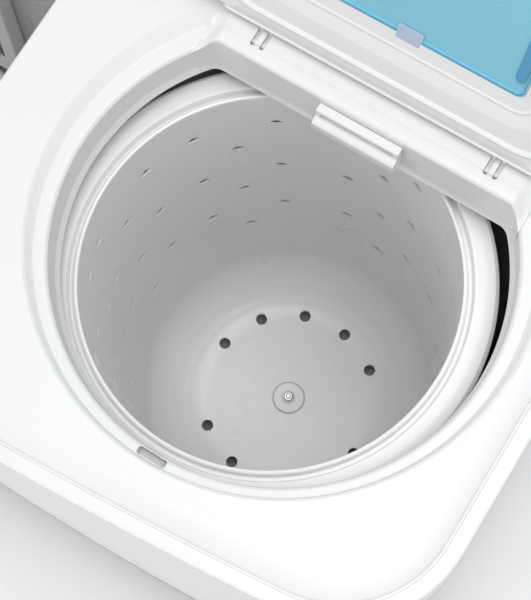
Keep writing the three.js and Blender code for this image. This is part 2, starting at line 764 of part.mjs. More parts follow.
function spinLidFrame() {
  const cy = OPEN_Y - HINGE_Y;
  const outline = (r) => dShape(OPEN_X, cy, r, -13, 8);
  const slab = prism(outline(144.8), LID_BOTTOM, LID_TOP);
  const skirt = cut(
    prism(outline(144.8), LEDGE_Z - HINGE_Z + 0.6, LID_BOTTOM + 1),
    prism(outline(142), -20, LID_BOTTOM - 0.2),
    box(0, 400, -22, 10, -20, LID_BOTTOM),
  );
  const grip = box(OPEN_X - 30, OPEN_X + 30, cy - 150, cy - 138.5, LID_BOTTOM + 5, LID_TOP + 1);
  const catchTab = box(OPEN_X - 6, OPEN_X + 6, cy - 144.4, cy - 142, -13, LID_BOTTOM);
  const flange = box(OPEN_X - 100, OPEN_X + 100, -14, -9.6, 5.6, LID_TOP);
  return cut(
    join(slab, skirt, catchTab, flange, ...hingeArms(SPIN_ARMS)),
    prism(windowOutline(OPEN_X, 82, 0), -1, 20),
    prism(windowOutline(OPEN_X, 82, 4), LID_TOP - 4, 20),
    grip,
  );
}

function washLidFrame() {
  const outline = roundedRect(WASH_X0 - 8, WASH_X1 + 8, WASH_Y0 - 8 - HINGE_Y, -13, 40, 5);
  return cut(
    join(
      prism(outline, DECK_Z - HINGE_Z + 0.6, LID_TOP + 2),
      ...hingeArms(WASH_ARMS),
    ),
    prism(windowOutline(WASH_X, 130, 0), -1, 20),
    prism(windowOutline(WASH_X, 130, 4), LID_TOP - 2, 20),
  );
}

function lidWindow(x, half, top) {
  return prism(windowOutline(x, half, 3.6), top - 3.6, top - 0.4);
}

// ---- assembly -------------------------------------------------------------------------------------

add("base_frame", baseFrame(), GREY);
for (const [name, x, y] of [
  ["foot_front_left", -310, -140], ["foot_front_right", 310, -140],
  ["foot_rear_left", -330, 170], ["foot_rear_right", 330, 170],
]) {
  add(name, foot().translate([x, y, 0]), BLACK);
}
add("cabinet_shell", cabinetShell(), WHITE);
add("rear_cover", rearCover(), GREY);
add("top_frame", topFrame(), WHITE);
add("spin_hinge_bar", spinHingeBar(), WHITE);
add("wash_hinge_bar", washHingeBar(), WHITE);
add("spin_spout", spout(BASKET_X + 6, 57.6, 776, 798.5, 8), WHITE);
add("wash_spout", spout(WASH_X, 84, 779.5, 799, 12), WHITE);
add("control_housing", controlHousing(), WHITE);
add("control_fascia", controlFascia(), GREY);
add("water_inlet", waterInlet(), BLUE);

add("wash_timer", timerBody(46, 30).translate([WASH_TIMER_X, 0, 0]), DARK);
add("spin_timer", timerBody(46, 30).translate([SPIN_TIMER_X, 0, 0]), DARK);
add("drain_selector", timerBody(34, 24).translate([DRAIN_KNOB_X, 0, 0]), DARK);
add("wash_timer_knob", knob(22).translate([WASH_TIMER_X, 0, 0]), BLUE);
add("spin_timer_knob", knob(22).translate([SPIN_TIMER_X, 0, 0]), BLUE);
add("drain_selector_knob", knob(22).translate([DRAIN_KNOB_X, 0, 0]), BLUE);
add("lid_switch", lidSwitch(), DARK);
add("lid_switch_lever", lidSwitchLever(), WHITE);
add("capacitor", capacitor().translate([90, 120, FOOT_TOP + 6.4]), DARK);
add("cord_gland", rodY(GLAND_X, 205, 219.5, 120, 8, 12), BLACK);

add("wash_tub", washTub(), GREY);
add("pulsator", pulsator(), WHITE);
add("pulsator_screw", disc(WASH_X, WASH_Y, 7, 474.4, 478, 12)
  .add(disc(WASH_X, WASH_Y, 3, 469, 475, 12)), STEEL);
add("pulsator_shaft", disc(WASH_X, WASH_Y, 8, 362, 467, 16), STEEL);
add("wash_gearbox", washGearbox(), ZINC);
add("gearbox_pulley", pulley(WASH_X, WASH_Y, BIG_PULLEY_R, 16, 8, BELT_Z, 361), ZINC);
add("wash_motor_pulley", pulley(MOTOR_X, MOTOR_Y, SMALL_PULLEY_R, 9, 6, 300.4, BELT_Z + 14), ZINC);
add("drive_belt", driveBelt(), BLACK);
add("wash_motor", motor(MOTOR_X, MOTOR_Y, 58, 180.4, 300), ZINC);
add("wash_motor_bracket", washMotorBracket(), DARK);
add("lint_filter", lintFilter(), BLUE);
add("overflow_cover", overflowCover(), WHITE);
add("drain_valve_body", drainValveBody(), DARK);
add("drain_valve_plunger", drainValvePlunger(), BLACK);
add("drain_pipe", drainPipe(), DARK);

add("outer_spin_tub", outerSpinTub(), GREY);
add("spin_basket", spinBasket(), GREY);
add("balance_ring", balanceRing(), WHITE);
add("basket_washer", basketWasher(), GREY);
add("basket_bolt", basketBolt(), STEEL);
add("spin_shaft", spinShaft(), STEEL);
add("bellows_seal", bellowsSeal(), BLACK);
add("spin_motor", motor(BASKET_X, BASKET_Y, 60, 124.4, 245), ZINC);
add("spin_motor_plate", spinMotorPlate(), ZINC);
add("brake_drum", brakeDrum(), ZINC);
add("brake_lever", brakeLever(), ZINC);
mountPlaces().forEach(([x, y], i) => {
  add(`mount_spring_${i + 1}`, mountSpring().translate([x, y, 0]), STEEL);
});

add("spin_hinge_pin", rodX(100, 300, HINGE_Y, HINGE_Z, PIN_R), STEEL);
add("wash_hinge_pin", rodX(-340, -18, HINGE_Y, HINGE_Z, PIN_R), STEEL);

const lids = new THREE.Group();
lids.position.set(0, HINGE_Y, HINGE_Z);
lids.rotation.x = -THREE.MathUtils.degToRad(LID_OPEN_DEG);
machine.add(lids);
add("spin_lid_frame", spinLidFrame(), WHITE, lids);
add("spin_lid_window", lidWindow(OPEN_X, 82, LID_TOP), BLUE, lids);
add("wash_lid_frame", washLidFrame(), WHITE, lids);
add("wash_lid_window", lidWindow(WASH_X, 130, LID_TOP + 2), BLUE, lids);

export default machine;
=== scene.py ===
"""Looks of the twin-tub washing machine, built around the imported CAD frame.

Helpers take millimetres in the row frame: +X is the user's right, +Y the back, +Z up.
"""
import math

import bmesh
import bpy
from mathutils import Matrix, Vector


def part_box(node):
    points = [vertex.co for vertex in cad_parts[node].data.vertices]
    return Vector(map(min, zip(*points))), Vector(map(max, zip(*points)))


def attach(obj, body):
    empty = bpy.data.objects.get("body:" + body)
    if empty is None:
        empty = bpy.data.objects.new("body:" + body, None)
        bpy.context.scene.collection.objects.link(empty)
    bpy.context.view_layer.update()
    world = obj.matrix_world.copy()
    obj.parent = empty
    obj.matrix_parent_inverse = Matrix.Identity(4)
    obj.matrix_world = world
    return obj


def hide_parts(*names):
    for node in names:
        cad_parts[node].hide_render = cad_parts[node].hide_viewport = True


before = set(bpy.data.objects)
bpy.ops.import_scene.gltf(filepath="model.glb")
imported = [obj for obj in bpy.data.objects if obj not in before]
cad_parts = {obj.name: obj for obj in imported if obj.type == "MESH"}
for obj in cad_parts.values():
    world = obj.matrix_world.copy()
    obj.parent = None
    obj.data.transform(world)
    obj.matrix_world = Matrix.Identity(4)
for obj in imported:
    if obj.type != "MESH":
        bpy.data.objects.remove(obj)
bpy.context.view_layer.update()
MM = 0.001


def span(node):
    """A CAD node's lowest and highest corners at rest, in millimetres."""
    return [[value / MM for value in corner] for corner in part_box(node)]


# ---- dimensions, in millimetres ------------------------------------------------------------------

DECK_BOX = span("top_frame")
HALF_W = DECK_BOX[1][0]
BACK_Y = DECK_BOX[1][1]
SKIRT_Z = DECK_BOX[0][2]
DECK_Z = DECK_BOX[1][2]
LIP_Z = DECK_Z - 4
LEDGE_Z = DECK_Z - 7
BOW_RADIUS = 3100
FRONT_CORNER = 82
BACK_CORNER = 30
CASE_INSET = 8

BASKET_BOX = span("spin_basket")
BASKET_X = (BASKET_BOX[0][0] + BASKET_BOX[1][0]) / 2
BASKET_Y = (BASKET_BOX[0][1] + BASKET_BOX[1][1]) / 2
RIM_Z = BASKET_BOX[1][2]
BASKET_R = 120
FLOOR_Z = 380
OPEN_X = BASKET_X + 5.8
OPEN_Y = BASKET_Y + 8.5
OPEN_R = 140
FOOT_LIP = 2.6
FOOT_Z = RIM_Z + 14
LEDGE_R = 146
RECESS_X = OPEN_X - 2.3
RECESS_Y = OPEN_Y + 6.5
RECESS_R = 156.5
OUTER_TUB_R = 155

SPIN_BAR = [span("spin_hinge_bar")[i][0] for i in (0, 1)]
WASH_BAR = [span("wash_hinge_bar")[i][0] for i in (0, 1)]
BAR_SIDE = min(SPIN_BAR[1] - OPEN_X, OPEN_X - SPIN_BAR[0]) - 0.2
BAR_FRONT = 67.5
BAR_BACK = span("spin_hinge_bar")[1][1]
BAR_TOP = span("spin_hinge_bar")[1][2]
SLOT_FRONT = 75.5
SLOT_BACK = 91
ARM_T = 2.9
ARM_PITCH = 6.6
SPIN_ARMS = [114.6, 277]
WASH_ARMS = [-330, -34]

WASH_X0 = -352
WASH_X1 = -6
WASH_Y0 = -172
WASH_X = (WASH_X0 + WASH_X1) / 2
WASH_Y = -36
WASH_CORNER = 56
WASH_FLOOR_Z = 436
VALVE_X = -296
VALVE_Y = 30
GLAND_X = 312
GLAND_Z = 120

HINGE_Y = 80
HINGE_Z = 800
LID_R = 144.8
LID_EDGE_Y = -13
LID_OPEN_DEG = 112
LID_TOP = 9.4
WINDOW_NEAR = -62
WINDOW_FAR = -209

PANEL_Z = 892
KNOB_Y = 180
KNOBS = {"wash_timer": -262, "drain_selector": -92, "spin_timer": 262}
INLET_X = 90


# ---- materials -----------------------------------------------------------------------------------

def add_noise(tree, coordinates, size, detail=3.0):
    """A noise texture whose features are about `size` millimetres across."""
    noise = tree.nodes.new("ShaderNodeTexNoise")
    noise.inputs["Scale"].default_value = 1 / (size * MM)
    noise.inputs["Detail"].default_value = detail
    tree.links.new(coordinates.outputs["Object"], noise.inputs["Vector"])
    return noise


def add_bump(tree, height, strength, depth, under=None):
    """A bump of `depth` millimetres, on top of another bump if one is given."""
    bump = tree.nodes.new("ShaderNodeBump")
    bump.inputs["Strength"].default_value = strength
    bump.inputs["Distance"].default_value = depth * MM
    tree.links.new(height, bump.inputs["Height"])
    if under:
        tree.links.new(under.outputs["Normal"], bump.inputs["Normal"])
    return bump


def surface(name, color, roughness, mottle=0.02, patch=60, grain=1.2, grain_bump=0.12,
            wave=0.0, wave_size=45, spread=0.06, wear=0.0, **sockets):
    """A procedural finish: broad colour patches, fine moulded grain, uneven gloss, worn edges."""
    material = bpy.data.materials.new(name)
    material.use_nodes = True
    tree = material.node_tree
    shader = tree.nodes["Principled BSDF"]
    coordinates = tree.nodes.new("ShaderNodeTexCoord")
    broad = add_noise(tree, coordinates, patch)
    fine = add_noise(tree, coordinates, grain, 2.0)

    tint = tree.nodes.new("ShaderNodeMix")
    tint.data_type = "RGBA"
    tint.inputs["A"].default_value = (*[c * (1 - mottle) for c in color], 1)
    tint.inputs["B"].default_value = (*[min(c * (1 + mottle), 1) for c in color], 1)
    tree.links.new(broad.outputs["Fac"], tint.inputs["Factor"])
    shown = tint.outputs["Result"]
    if wear:
        shown = add_wear(tree, shown, color, wear)
    tree.links.new(shown, shader.inputs["Base Color"])

    gloss = tree.nodes.new("ShaderNodeMapRange")
    gloss.inputs["To Min"].default_value = max(roughness - spread, 0.02)
    gloss.inputs["To Max"].default_value = min(roughness + spread, 1)
    tree.links.new(broad.outputs["Fac"], gloss.inputs["Value"])
    tree.links.new(gloss.outputs["Result"], shader.inputs["Roughness"])

    bump = add_bump(tree, fine.outputs["Fac"], grain_bump, 0.25)
    if wave:
        ripple = add_noise(tree, coordinates, wave_size, 1.5)
        bump = add_bump(tree, ripple.outputs["Fac"], 1.0, wave, bump)
    tree.links.new(bump.outputs["Normal"], shader.inputs["Normal"])
    for socket, value in sockets.items():
        shader.inputs[socket.replace("_", " ").title()].default_value = value
    return material


def add_wear(tree, shown, color, wear):
    """Paler edges, where handling has rubbed the surface."""
    geometry = tree.nodes.new("ShaderNodeNewGeometry")
    edge = tree.nodes.new("ShaderNodeMapRange")
    edge.inputs["From Min"].default_value = 0.52
    edge.inputs["From Max"].default_value = 0.62
    edge.inputs["To Max"].default_value = wear
    tree.links.new(geometry.outputs["Pointiness"], edge.inputs["Value"])
    worn = tree.nodes.new("ShaderNodeMix")
    worn.data_type = "RGBA"
    worn.inputs["B"].default_value = (*[min(c * 1.5 + 0.08, 1) for c in color], 1)
    tree.links.new(edge.outputs["Result"], worn.inputs["Factor"])
    tree.links.new(shown, worn.inputs["A"])
    return worn.outputs["Result"]


WHITE = surface("white_gloss", (0.8, 0.8, 0.8), 0.36, mottle=0.012, wave=0.25)
CABINET = surface("white_satin", (0.82, 0.82, 0.825), 0.48, mottle=0.015, wave=0.4, wave_size=120)
RING = surface("ring_white", (0.93, 0.93, 0.93), 0.3, mottle=0.01, wave=0.15)
BASKET = surface("basket_grey", (0.86, 0.86, 0.86), 0.3, mottle=0.03, patch=70, wave=0.8,
                 wave_size=55, spread=0.08)
TUB = surface("tub_grey", (0.62, 0.625, 0.63), 0.3, mottle=0.03, wave=0.8, wave_size=70)
TUB_DARK = surface("tub_dark", (0.6, 0.6, 0.605), 0.5, mottle=0.08, patch=30)
FRAME_GREY = surface("frame_grey", (0.45, 0.46, 0.47), 0.5, mottle=0.03, grain_bump=0.3)
REAR_GREY = surface("rear_grey", (0.6, 0.6, 0.61), 0.55, mottle=0.02, patch=90, grain_bump=0.35)
FASCIA = surface("fascia_silver", (0.55, 0.57, 0.6), 0.28, mottle=0.02, grain=0.6,
                 grain_bump=0.06, metallic=0.35)
INK = surface("dial_ink", (0.05, 0.07, 0.1), 0.5, mottle=0.05, patch=5)
KNOB_BLUE = surface("knob_blue", (0.16, 0.36, 0.5), 0.26, mottle=0.03, patch=12, grain_bump=0.05,
                    wear=0.25)
PALE_BLUE = surface("pale_blue", (0.3, 0.54, 0.66), 0.4, mottle=0.03, patch=20)
DARK = surface("dark_plastic", (0.03, 0.032, 0.035), 0.5, mottle=0.12, patch=20, grain_bump=0.3)
RUBBER = surface("black_rubber", (0.018, 0.018, 0.018), 0.72, mottle=0.2, patch=8, grain=0.8,
                 grain_bump=0.5)
STEEL = surface("bare_steel", (0.5, 0.51, 0.52), 0.28, mottle=0.06, patch=14, grain=0.4,
                grain_bump=0.08, metallic=1.0)
CHROME = surface("chrome", (0.82, 0.82, 0.84), 0.1, mottle=0.02, patch=6, spread=0.04,
                 grain_bump=0.02, metallic=1.0)
ALLOY = surface("cast_alloy", (0.36, 0.37, 0.38), 0.5, mottle=0.1, patch=16, grain=0.9,
                grain_bump=0.5, metallic=0.8, wear=0.3)
DARK_STEEL = surface("dark_steel", (0.045, 0.047, 0.05), 0.45, mottle=0.12, patch=18,
                     metallic=0.3, wear=0.35)


def window_tint(name, color, roughness):
    """Translucent tinted plastic with a faint ripple."""
    material = surface(name, color, roughness, mottle=0.05, patch=40, wave=0.3, wave_size=30,
                       grain_bump=0.04)
    material.node_tree.nodes["Principled BSDF"].inputs["Transmission Weight"].default_value = 0.2
    return material


WINDOW = window_tint("window_blue", (0.3, 0.71, 0.88), 0.12)
WINDOW_DEEP = window_tint("window_deep_blue", (0.12, 0.42, 0.68), 0.18)
WINDOW_TAB = window_tint("window_tab", (0.6, 0.68, 0.86), 0.2)


# ---- outlines, in millimetres --------------------------------------------------------------------

def arc(cx, cy, r, start, stop, steps):
    angles = [start + (stop - start) * i / steps for i in range(steps + 1)]
    return [(cx + r * math.cos(a), cy + r * math.sin(a)) for a in angles]


def circle(cx, cy, r, steps):
    return arc(cx, cy, r, 0, 2 * math.pi, steps)[:-1]


def plan(inset):
    """The machine's plan, pulled in by an inset: bowed front, round corners, straight sides."""
    corner_x = HALF_W - FRONT_CORNER
    bow_y = BOW_RADIUS - BACK_Y
    reach = BOW_RADIUS - FRONT_CORNER
    corner_y = bow_y - math.sqrt(reach ** 2 - corner_x ** 2)
    tilt = math.asin(corner_x / reach)
    back_r = max(BACK_CORNER - inset, 3)
    back_x = HALF_W - inset - back_r
    back_y = BACK_Y - inset - back_r
    corner_r = FRONT_CORNER - inset
    down = -math.pi / 2
    return [
        *arc(0, bow_y, BOW_RADIUS - inset, down - tilt, down + tilt, 32),
        *arc(corner_x, corner_y, corner_r, down + tilt, 0, 18)[1:],
        *arc(back_x, back_y, back_r, 0, math.pi / 2, 8),
        *arc(-back_x, back_y, back_r, math.pi / 2, math.pi, 8),
        *arc(-corner_x, corner_y, corner_r, math.pi, -down * 3 - tilt, 18)[:-1],
    ]


def round_rect(x0, x1, y0, y1, r, steps=8, back_r=None):
    """A rectangle with round corners; the two at the back may have a radius of their own."""
    back_r = r if back_r is None else back_r
    quarter = math.pi / 2
    return [
        *arc(x1 - r, y0 + r, r, -quarter, 0, steps),
        *arc(x1 - back_r, y1 - back_r, back_r, 0, quarter, steps),
        *arc(x0 + back_r, y1 - back_r, back_r, quarter, math.pi, steps),
        *arc(x0 + r, y0 + r, r, math.pi, math.pi * 1.5, steps),
    ]


def d_shape(cx, cy, r, y, corner, steps=96):
    """A circle cut off by a straight edge at y, with round corners where they meet."""
    fillet_y = y - corner
    fillet_x = math.sqrt((r - corner) ** 2 - (fillet_y - cy) ** 2)
    turn = math.atan2(fillet_y - cy, fillet_x)
    return [
        *arc(cx + fillet_x, fillet_y, corner, turn, math.pi / 2, 10),
        *arc(cx - fillet_x, fillet_y, corner, math.pi / 2, math.pi - turn, 10),
        *arc(cx, cy, r, math.pi - turn, math.pi * 2 + turn, steps)[1:-1],
    ]


def rounded(points, radius, steps=4):
    """A closed outline with its corners rounded. A point may carry its own radius as a third."""
    outline = []
    for i, point in enumerate(points):
        corner = Vector(point[:2])
        before = Vector(points[i - 1][:2]) - corner
        after = Vector(points[(i + 1) % len(points)][:2]) - corner
        own = point[2] if len(point) > 2 else radius
        half = before.angle(after) / 2
        reach = min(own / math.tan(half), 0.48 * before.length, 0.48 * after.length)
        if reach < 0.01:
            outline.append(tuple(corner))
            continue
        start = corner + before.normalized() * reach
        stop = corner + after.normalized() * reach
        for k in range(steps + 1):
            t = k / steps
            p = start * (1 - t) ** 2 + corner * (2 * t * (1 - t)) + stop * t ** 2
            outline.append(tuple(p))
    return outline


# ---- mesh building -------------------------------------------------------------------------------

def new_object(name, verts, faces):
    """A mesh object from points in millimetres, welded and facing outwards."""
    mesh = bpy.data.meshes.new(name)
    mesh.from_pydata([Vector(v) * MM for v in verts], [], faces)
    obj = bpy.data.objects.new(name, mesh)
    bpy.context.scene.collection.objects.link(obj)
    shape = bmesh.new()
    shape.from_mesh(mesh)
    bmesh.ops.remove_doubles(shape, verts=shape.verts, dist=2e-6)
    loose = [edge for edge in shape.edges if not edge.link_faces]
    bmesh.ops.delete(shape, geom=loose, context="EDGES")
    bmesh.ops.recalc_face_normals(shape, faces=shape.faces)
    shape.to_mesh(mesh)
    shape.free()
    return obj


def skin(name, loops, wrap=False):
    """A closed solid through loops with equal numbers of points, capped unless it wraps."""
    count = len(loops[0])
    verts = [p for loop in loops for p in loop]
    faces = []
    for row in range(len(loops) if wrap else len(loops) - 1):
        low, high = row * count, (row + 1) % len(loops) * count
        for i in range(count):
            j = (i + 1) % count
            faces.append((low + i, low + j, high + j, high + i))
    if not wrap:
        faces.append(tuple(reversed(range(count))))
        faces.append(tuple(range(len(verts) - count, len(verts))))
    return new_object(name, verts, faces)


def loft(name, sections):
    """A solid through plan outlines, given as (outline, z)."""
    return skin(name, [[(x, y, z) for x, y in outline] for outline, z in sections])


def prism(name, outline, z0, z1):
    return loft(name, [(outline, z0), (outline, z1)])


def box(name, x0, x1, y0, y1, z0, z1):
    return prism(name, [(x0, y0), (x1, y0), (x1, y1), (x0, y1)], z0, z1)


def lathe(name, profile, x=0, y=0, segments=128):
    """A closed profile of (radius, z), turned about a vertical axis at (x, y)."""
    loops = []
    for i in range(segments):
        angle = 2 * math.pi * i / segments
        loops.append([(x + r * math.cos(angle), y + r * math.sin(angle), z) for r, z in profile])
    return skin(name, loops, wrap=True)


def profile_x(name, profile, x0, x1):
    """A profile of (y, z) run along X."""
    return skin(name, [[(x, y, z) for y, z in profile] for x in (x0, x1)])


def profile_y(name, profile, y0, y1):
    """A profile of (x, z) run along Y."""
    return skin(name, [[(x, y, z) for x, z in profile] for y in (y0, y1)])


def bake(obj):
    """Applies the object's modifiers."""
    graph = bpy.context.evaluated_depsgraph_get()
    mesh = bpy.data.meshes.new_from_object(obj.evaluated_get(graph))
    obj.modifiers.clear()
    obj.data = mesh
    return obj


def combine(obj, tools, operation):
    for tool in tools:
        modifier = obj.modifiers.new("shape", "BOOLEAN")
        modifier.operation = operation
        modifier.solver = "EXACT"
        modifier.object = tool
    bake(obj)
    for tool in tools:
        bpy.data.objects.remove(tool)
    return obj


def carve(obj, *tools):
    return combine(obj, tools, "DIFFERENCE")


def fuse(obj, *tools):
    return combine(obj, tools, "UNION")


def merge(obj, *others):
    """Puts the others' meshes into obj's, without joining their surfaces."""
    shape = bmesh.new()
    for one in (obj, *others):
        shape.from_mesh(one.data)
    shape.to_mesh(obj.data)
    shape.free()
    for other in others:
        bpy.data.objects.remove(other)
    return obj


def bevel(obj, width, segments=3, angle=35):
    modifier = obj.modifiers.new("bevel", "BEVEL")
    modifier.width = width * MM
    modifier.segments = segments
    modifier.limit_method = "ANGLE"
    modifier.angle_limit = math.radians(angle)
    return bake(obj)


def shade(obj, angle=38):
    """Smooth shading that keeps flat faces flat and edges over `angle` degrees sharp."""
    for polygon in obj.data.polygons:
        polygon.use_smooth = True
    obj.data.set_sharp_from_angle(angle=math.radians(angle))
    modifier = obj.modifiers.new("normals", "WEIGHTED_NORMAL")
    modifier.keep_sharp = True
    return bake(obj)


def face_back(obj, x, y, z):
    """Lays a piece built upright down, so that its top faces the machine's back, at (x, y, z)."""
    turn = Matrix.Rotation(math.radians(-90), 4, "X")
    obj.data.transform(Matrix.Translation((x * MM, y * MM, z * MM)) @ turn)
    return obj


def place(obj, material, body, slot, *nodes, angle=38):
    """Finishes a piece: shading, material, the body it rides on and the CAD nodes it stands for."""
    shade(obj, angle)
    obj.data.materials.clear()
    obj.data.materials.append(material)
    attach(obj, body)
    if nodes:
        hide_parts(*nodes)
    return obj


def dress(material, *nodes):
    """Gives CAD nodes that stay in view a better material."""
    for name in nodes:
        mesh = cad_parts[name].data
        mesh.materials.clear()
        mesh.materials.append(material)


def dish(x, y, r, z0, z1, segments=48, edge=0.6):
    """A round plate or plug with softened edges."""
    profile = rounded([(0, z0, 0), (r, z0), (r, z1), (0, z1, 0)], edge, 3)
    return lathe("dish", profile, x, y, segments)


def smooth_step(t):
    t = min(max(t, 0), 1)
    return t * t * (3 - 2 * t)


# ---- camera, light and floor ---------------------------------------------------------------------

CAMERA_AT = (0.3744, -0.2458, 1.7406)
CAMERA_BACK = (0.1720, -0.1950, 0.9656)
CAMERA_RIGHT = (0.8503, 0.5243, -0.0456)
LENS_MM = 99.58
SENSOR_MM = 36
WORLD_STRENGTH = 0.72


def make_camera():
    data = bpy.data.cameras.new("camera")
    data.sensor_fit = "AUTO"
    data.sensor_width = SENSOR_MM
    data.lens = LENS_MM
    data.clip_start = 0.02
    data.clip_end = 50
    camera = bpy.data.objects.new("camera", data)
    bpy.context.scene.collection.objects.link(camera)
    back = Vector(CAMERA_BACK).normalized()
    right = Vector(CAMERA_RIGHT)
    right = (right - back * right.dot(back)).normalized()
    up = back.cross(right)
    rotation = Matrix((right, up, back)).transposed()
    camera.matrix_world = Matrix.Translation(CAMERA_AT) @ rotation.to_4x4()
    bpy.context.scene.camera = camera


def area_light(name, place_at, aim, size, watts):
    data = bpy.data.lights.new(name, "AREA")
    data.shape = "DISK"
    data.size = size
    data.energy = watts
    light = bpy.data.objects.new(name, data)
    light.location = place_at
    light.rotation_euler = (Vector(aim) - Vector(place_at)).to_track_quat("-Z", "Y").to_euler()
    bpy.context.scene.collection.objects.link(light)


def make_light():
    scene = bpy.context.scene
    scene.view_settings.view_transform = "Standard"
    scene.view_settings.look = "None"
    world = bpy.data.worlds.new("studio")
    world.use_nodes = True
    background = world.node_tree.nodes["Background"]
    background.inputs["Color"].default_value = (1, 1, 1, 1)
    background.inputs["Strength"].default_value = WORLD_STRENGTH
    scene.world = world
    area_light("key", place_at=(0.55, 0.0, 3.35), aim=(0.19, -0.03, 0.7), size=1.7, watts=30)
    area_light("fill", place_at=(-1.7, -2.3, 2.3), aim=(0.19, -0.03, 0.75), size=2.2, watts=12)


def make_floor():
    floor = prism("floor", round_rect(-6000, 6000, -6000, 6000, 800), -20, 0)
    floor.data.materials.append(surface("pale_floor", (0.97, 0.97, 0.97), 0.7, mottle=0.01,
                                        patch=900, grain=6))


# ---- deck and hinge bars -------------------------------------------------------------------------

def recess_cutter():
    """The round recess: opening wall with a lip at its foot, ledge, and a step drawn to the back."""
    lip_r, step_r = OPEN_R - FOOT_LIP, RECESS_R - 1.6
    profile = rounded([
        (lip_r, FOOT_Z - 8, 0), (lip_r, FOOT_Z + 0.6, 0.4), (OPEN_R - 0.2, FOOT_Z + 6),
        (OPEN_R + 0.6, LEDGE_Z - 2), (OPEN_R + 2.4, LEDGE_Z), (LEDGE_R + 4, LEDGE_Z + 0.2, 1),
        (step_r, DECK_Z - 1.4, 1), (RECESS_R + 2, DECK_Z + 0.9, 0),
    ], 2.4, 5)
    sections = []
    for r, z in profile:
        share = min(max((r - LEDGE_R) / (step_r - LEDGE_R), 0), 1)
        x = OPEN_X + (RECESS_X - OPEN_X) * share
        y = OPEN_Y + (RECESS_Y - OPEN_Y) * share
        sections.append((circle(x, y, r, 192), z))
    return loft("recess", sections)


def wash_hole(grow):
    return round_rect(WASH_X0 - grow, WASH_X1 + grow, WASH_Y0 - grow, BAR_BACK + 0.5 + grow,
                      WASH_CORNER + grow, 16, 2 + grow)


def make_deck():
    sections = [
        (1.2, SKIRT_Z), (0, SKIRT_Z + 1.2), (0, LIP_Z - 2.2), (0.6, LIP_Z - 0.7), (2.2, LIP_Z),
        (9.4, LIP_Z), (10.1, LIP_Z - 1.3), (11.1, LIP_Z - 1.2), (11.9, LIP_Z + 0.5), (13, LIP_Z + 1.3),
        (17, LIP_Z + 2.6), (22.5, LIP_Z + 3.6), (26.6, DECK_Z), (30, DECK_Z - 0.1), (36, DECK_Z - 0.4),
    ]
    deck = loft("deck", [(plan(inset), z) for inset, z in sections])
    hollow = loft("hollow", [(plan(4), SKIRT_Z - 2), (plan(4), LIP_Z - 5), (plan(28), DECK_Z - 5)])
    carve(deck, hollow)
    ledge = lathe("ledge", [
        (125, FOOT_Z), (OPEN_R + 1.2, FOOT_Z), (OPEN_R + 1.4, LEDGE_Z - 6),
        (OPEN_R + 3, LEDGE_Z - 3), (RECESS_R + 8, LEDGE_Z - 3), (RECESS_R + 8, DECK_Z - 2),
        (125, DECK_Z - 2),
    ], OPEN_X, OPEN_Y)
    wash_wall = prism("wash_wall", wash_hole(2.5), LEDGE_Z - 10, DECK_Z - 2)
    fuse(deck, ledge, wash_wall)
    opening = loft("opening", [
        (wash_hole(0), LEDGE_Z - 12), (wash_hole(0), DECK_Z - 2.6), (wash_hole(0.4), DECK_Z - 1.4),
        (wash_hole(1.4), DECK_Z - 0.6), (wash_hole(5), DECK_Z + 0.9),
    ])
    reach = BAR_SIDE + 0.15
    notch_y = OPEN_Y + math.sqrt(OPEN_R ** 2 - BAR_SIDE ** 2)
    notch = box("notch", OPEN_X - reach, OPEN_X + reach, notch_y, BAR_BACK + 0.5, SKIRT_Z - 8, DECK_Z + 2)
    rear = box("rear", -300, 300, 118, 204, LEDGE_Z - 8, DECK_Z + 2)
    catch = prism("catch", round_rect(OPEN_X - 9.6, OPEN_X + 9.6, OPEN_Y - 146.4, OPEN_Y - 141.6, 1.2, 4),
                  LEDGE_Z - 6, LEDGE_Z + 2)
    carve(deck, recess_cutter(), opening, notch, rear, catch)
    place(deck, WHITE, "machine", "white_plastic", "top_frame", angle=32)


def make_catch_pocket():
    """The cup under the ledge that takes the lid's catch."""
    x0, x1, y0, y1 = OPEN_X - 11.1, OPEN_X + 11.1, OPEN_Y - 148.4, OPEN_Y - 141.2
    cup = prism("catch_pocket", round_rect(x0, x1, y0, y1, 1.5, 4), LEDGE_Z - 13, LEDGE_Z - 3.2)
    carve(cup, prism("inside", round_rect(x0 + 1.5, x1 - 1.5, y0 + 1.5, y1 - 0.4, 0.3, 2),
                     LEDGE_Z - 11, LEDGE_Z))
    place(cup, WHITE, "machine", "white_plastic")


def bar_height(x, y):
    """The spin bar's top: raised along its middle, level with ledge and step at its two ends."""
    radius = math.hypot(x - OPEN_X, y - OPEN_Y)
    low = LEDGE_Z + 6.4 * smooth_step((radius - LEDGE_R + 0.5) / 9)
    ends = smooth_step((x - SPIN_BAR[0] - 1) / 11) * smooth_step((SPIN_BAR[1] - 1 - x) / 11)
    steps = sum(0.35 * smooth_step((y - BAR_FRONT - back) / 0.9) for back in (9.6, 19.6))
    return low + (BAR_TOP - steps - low) * ends


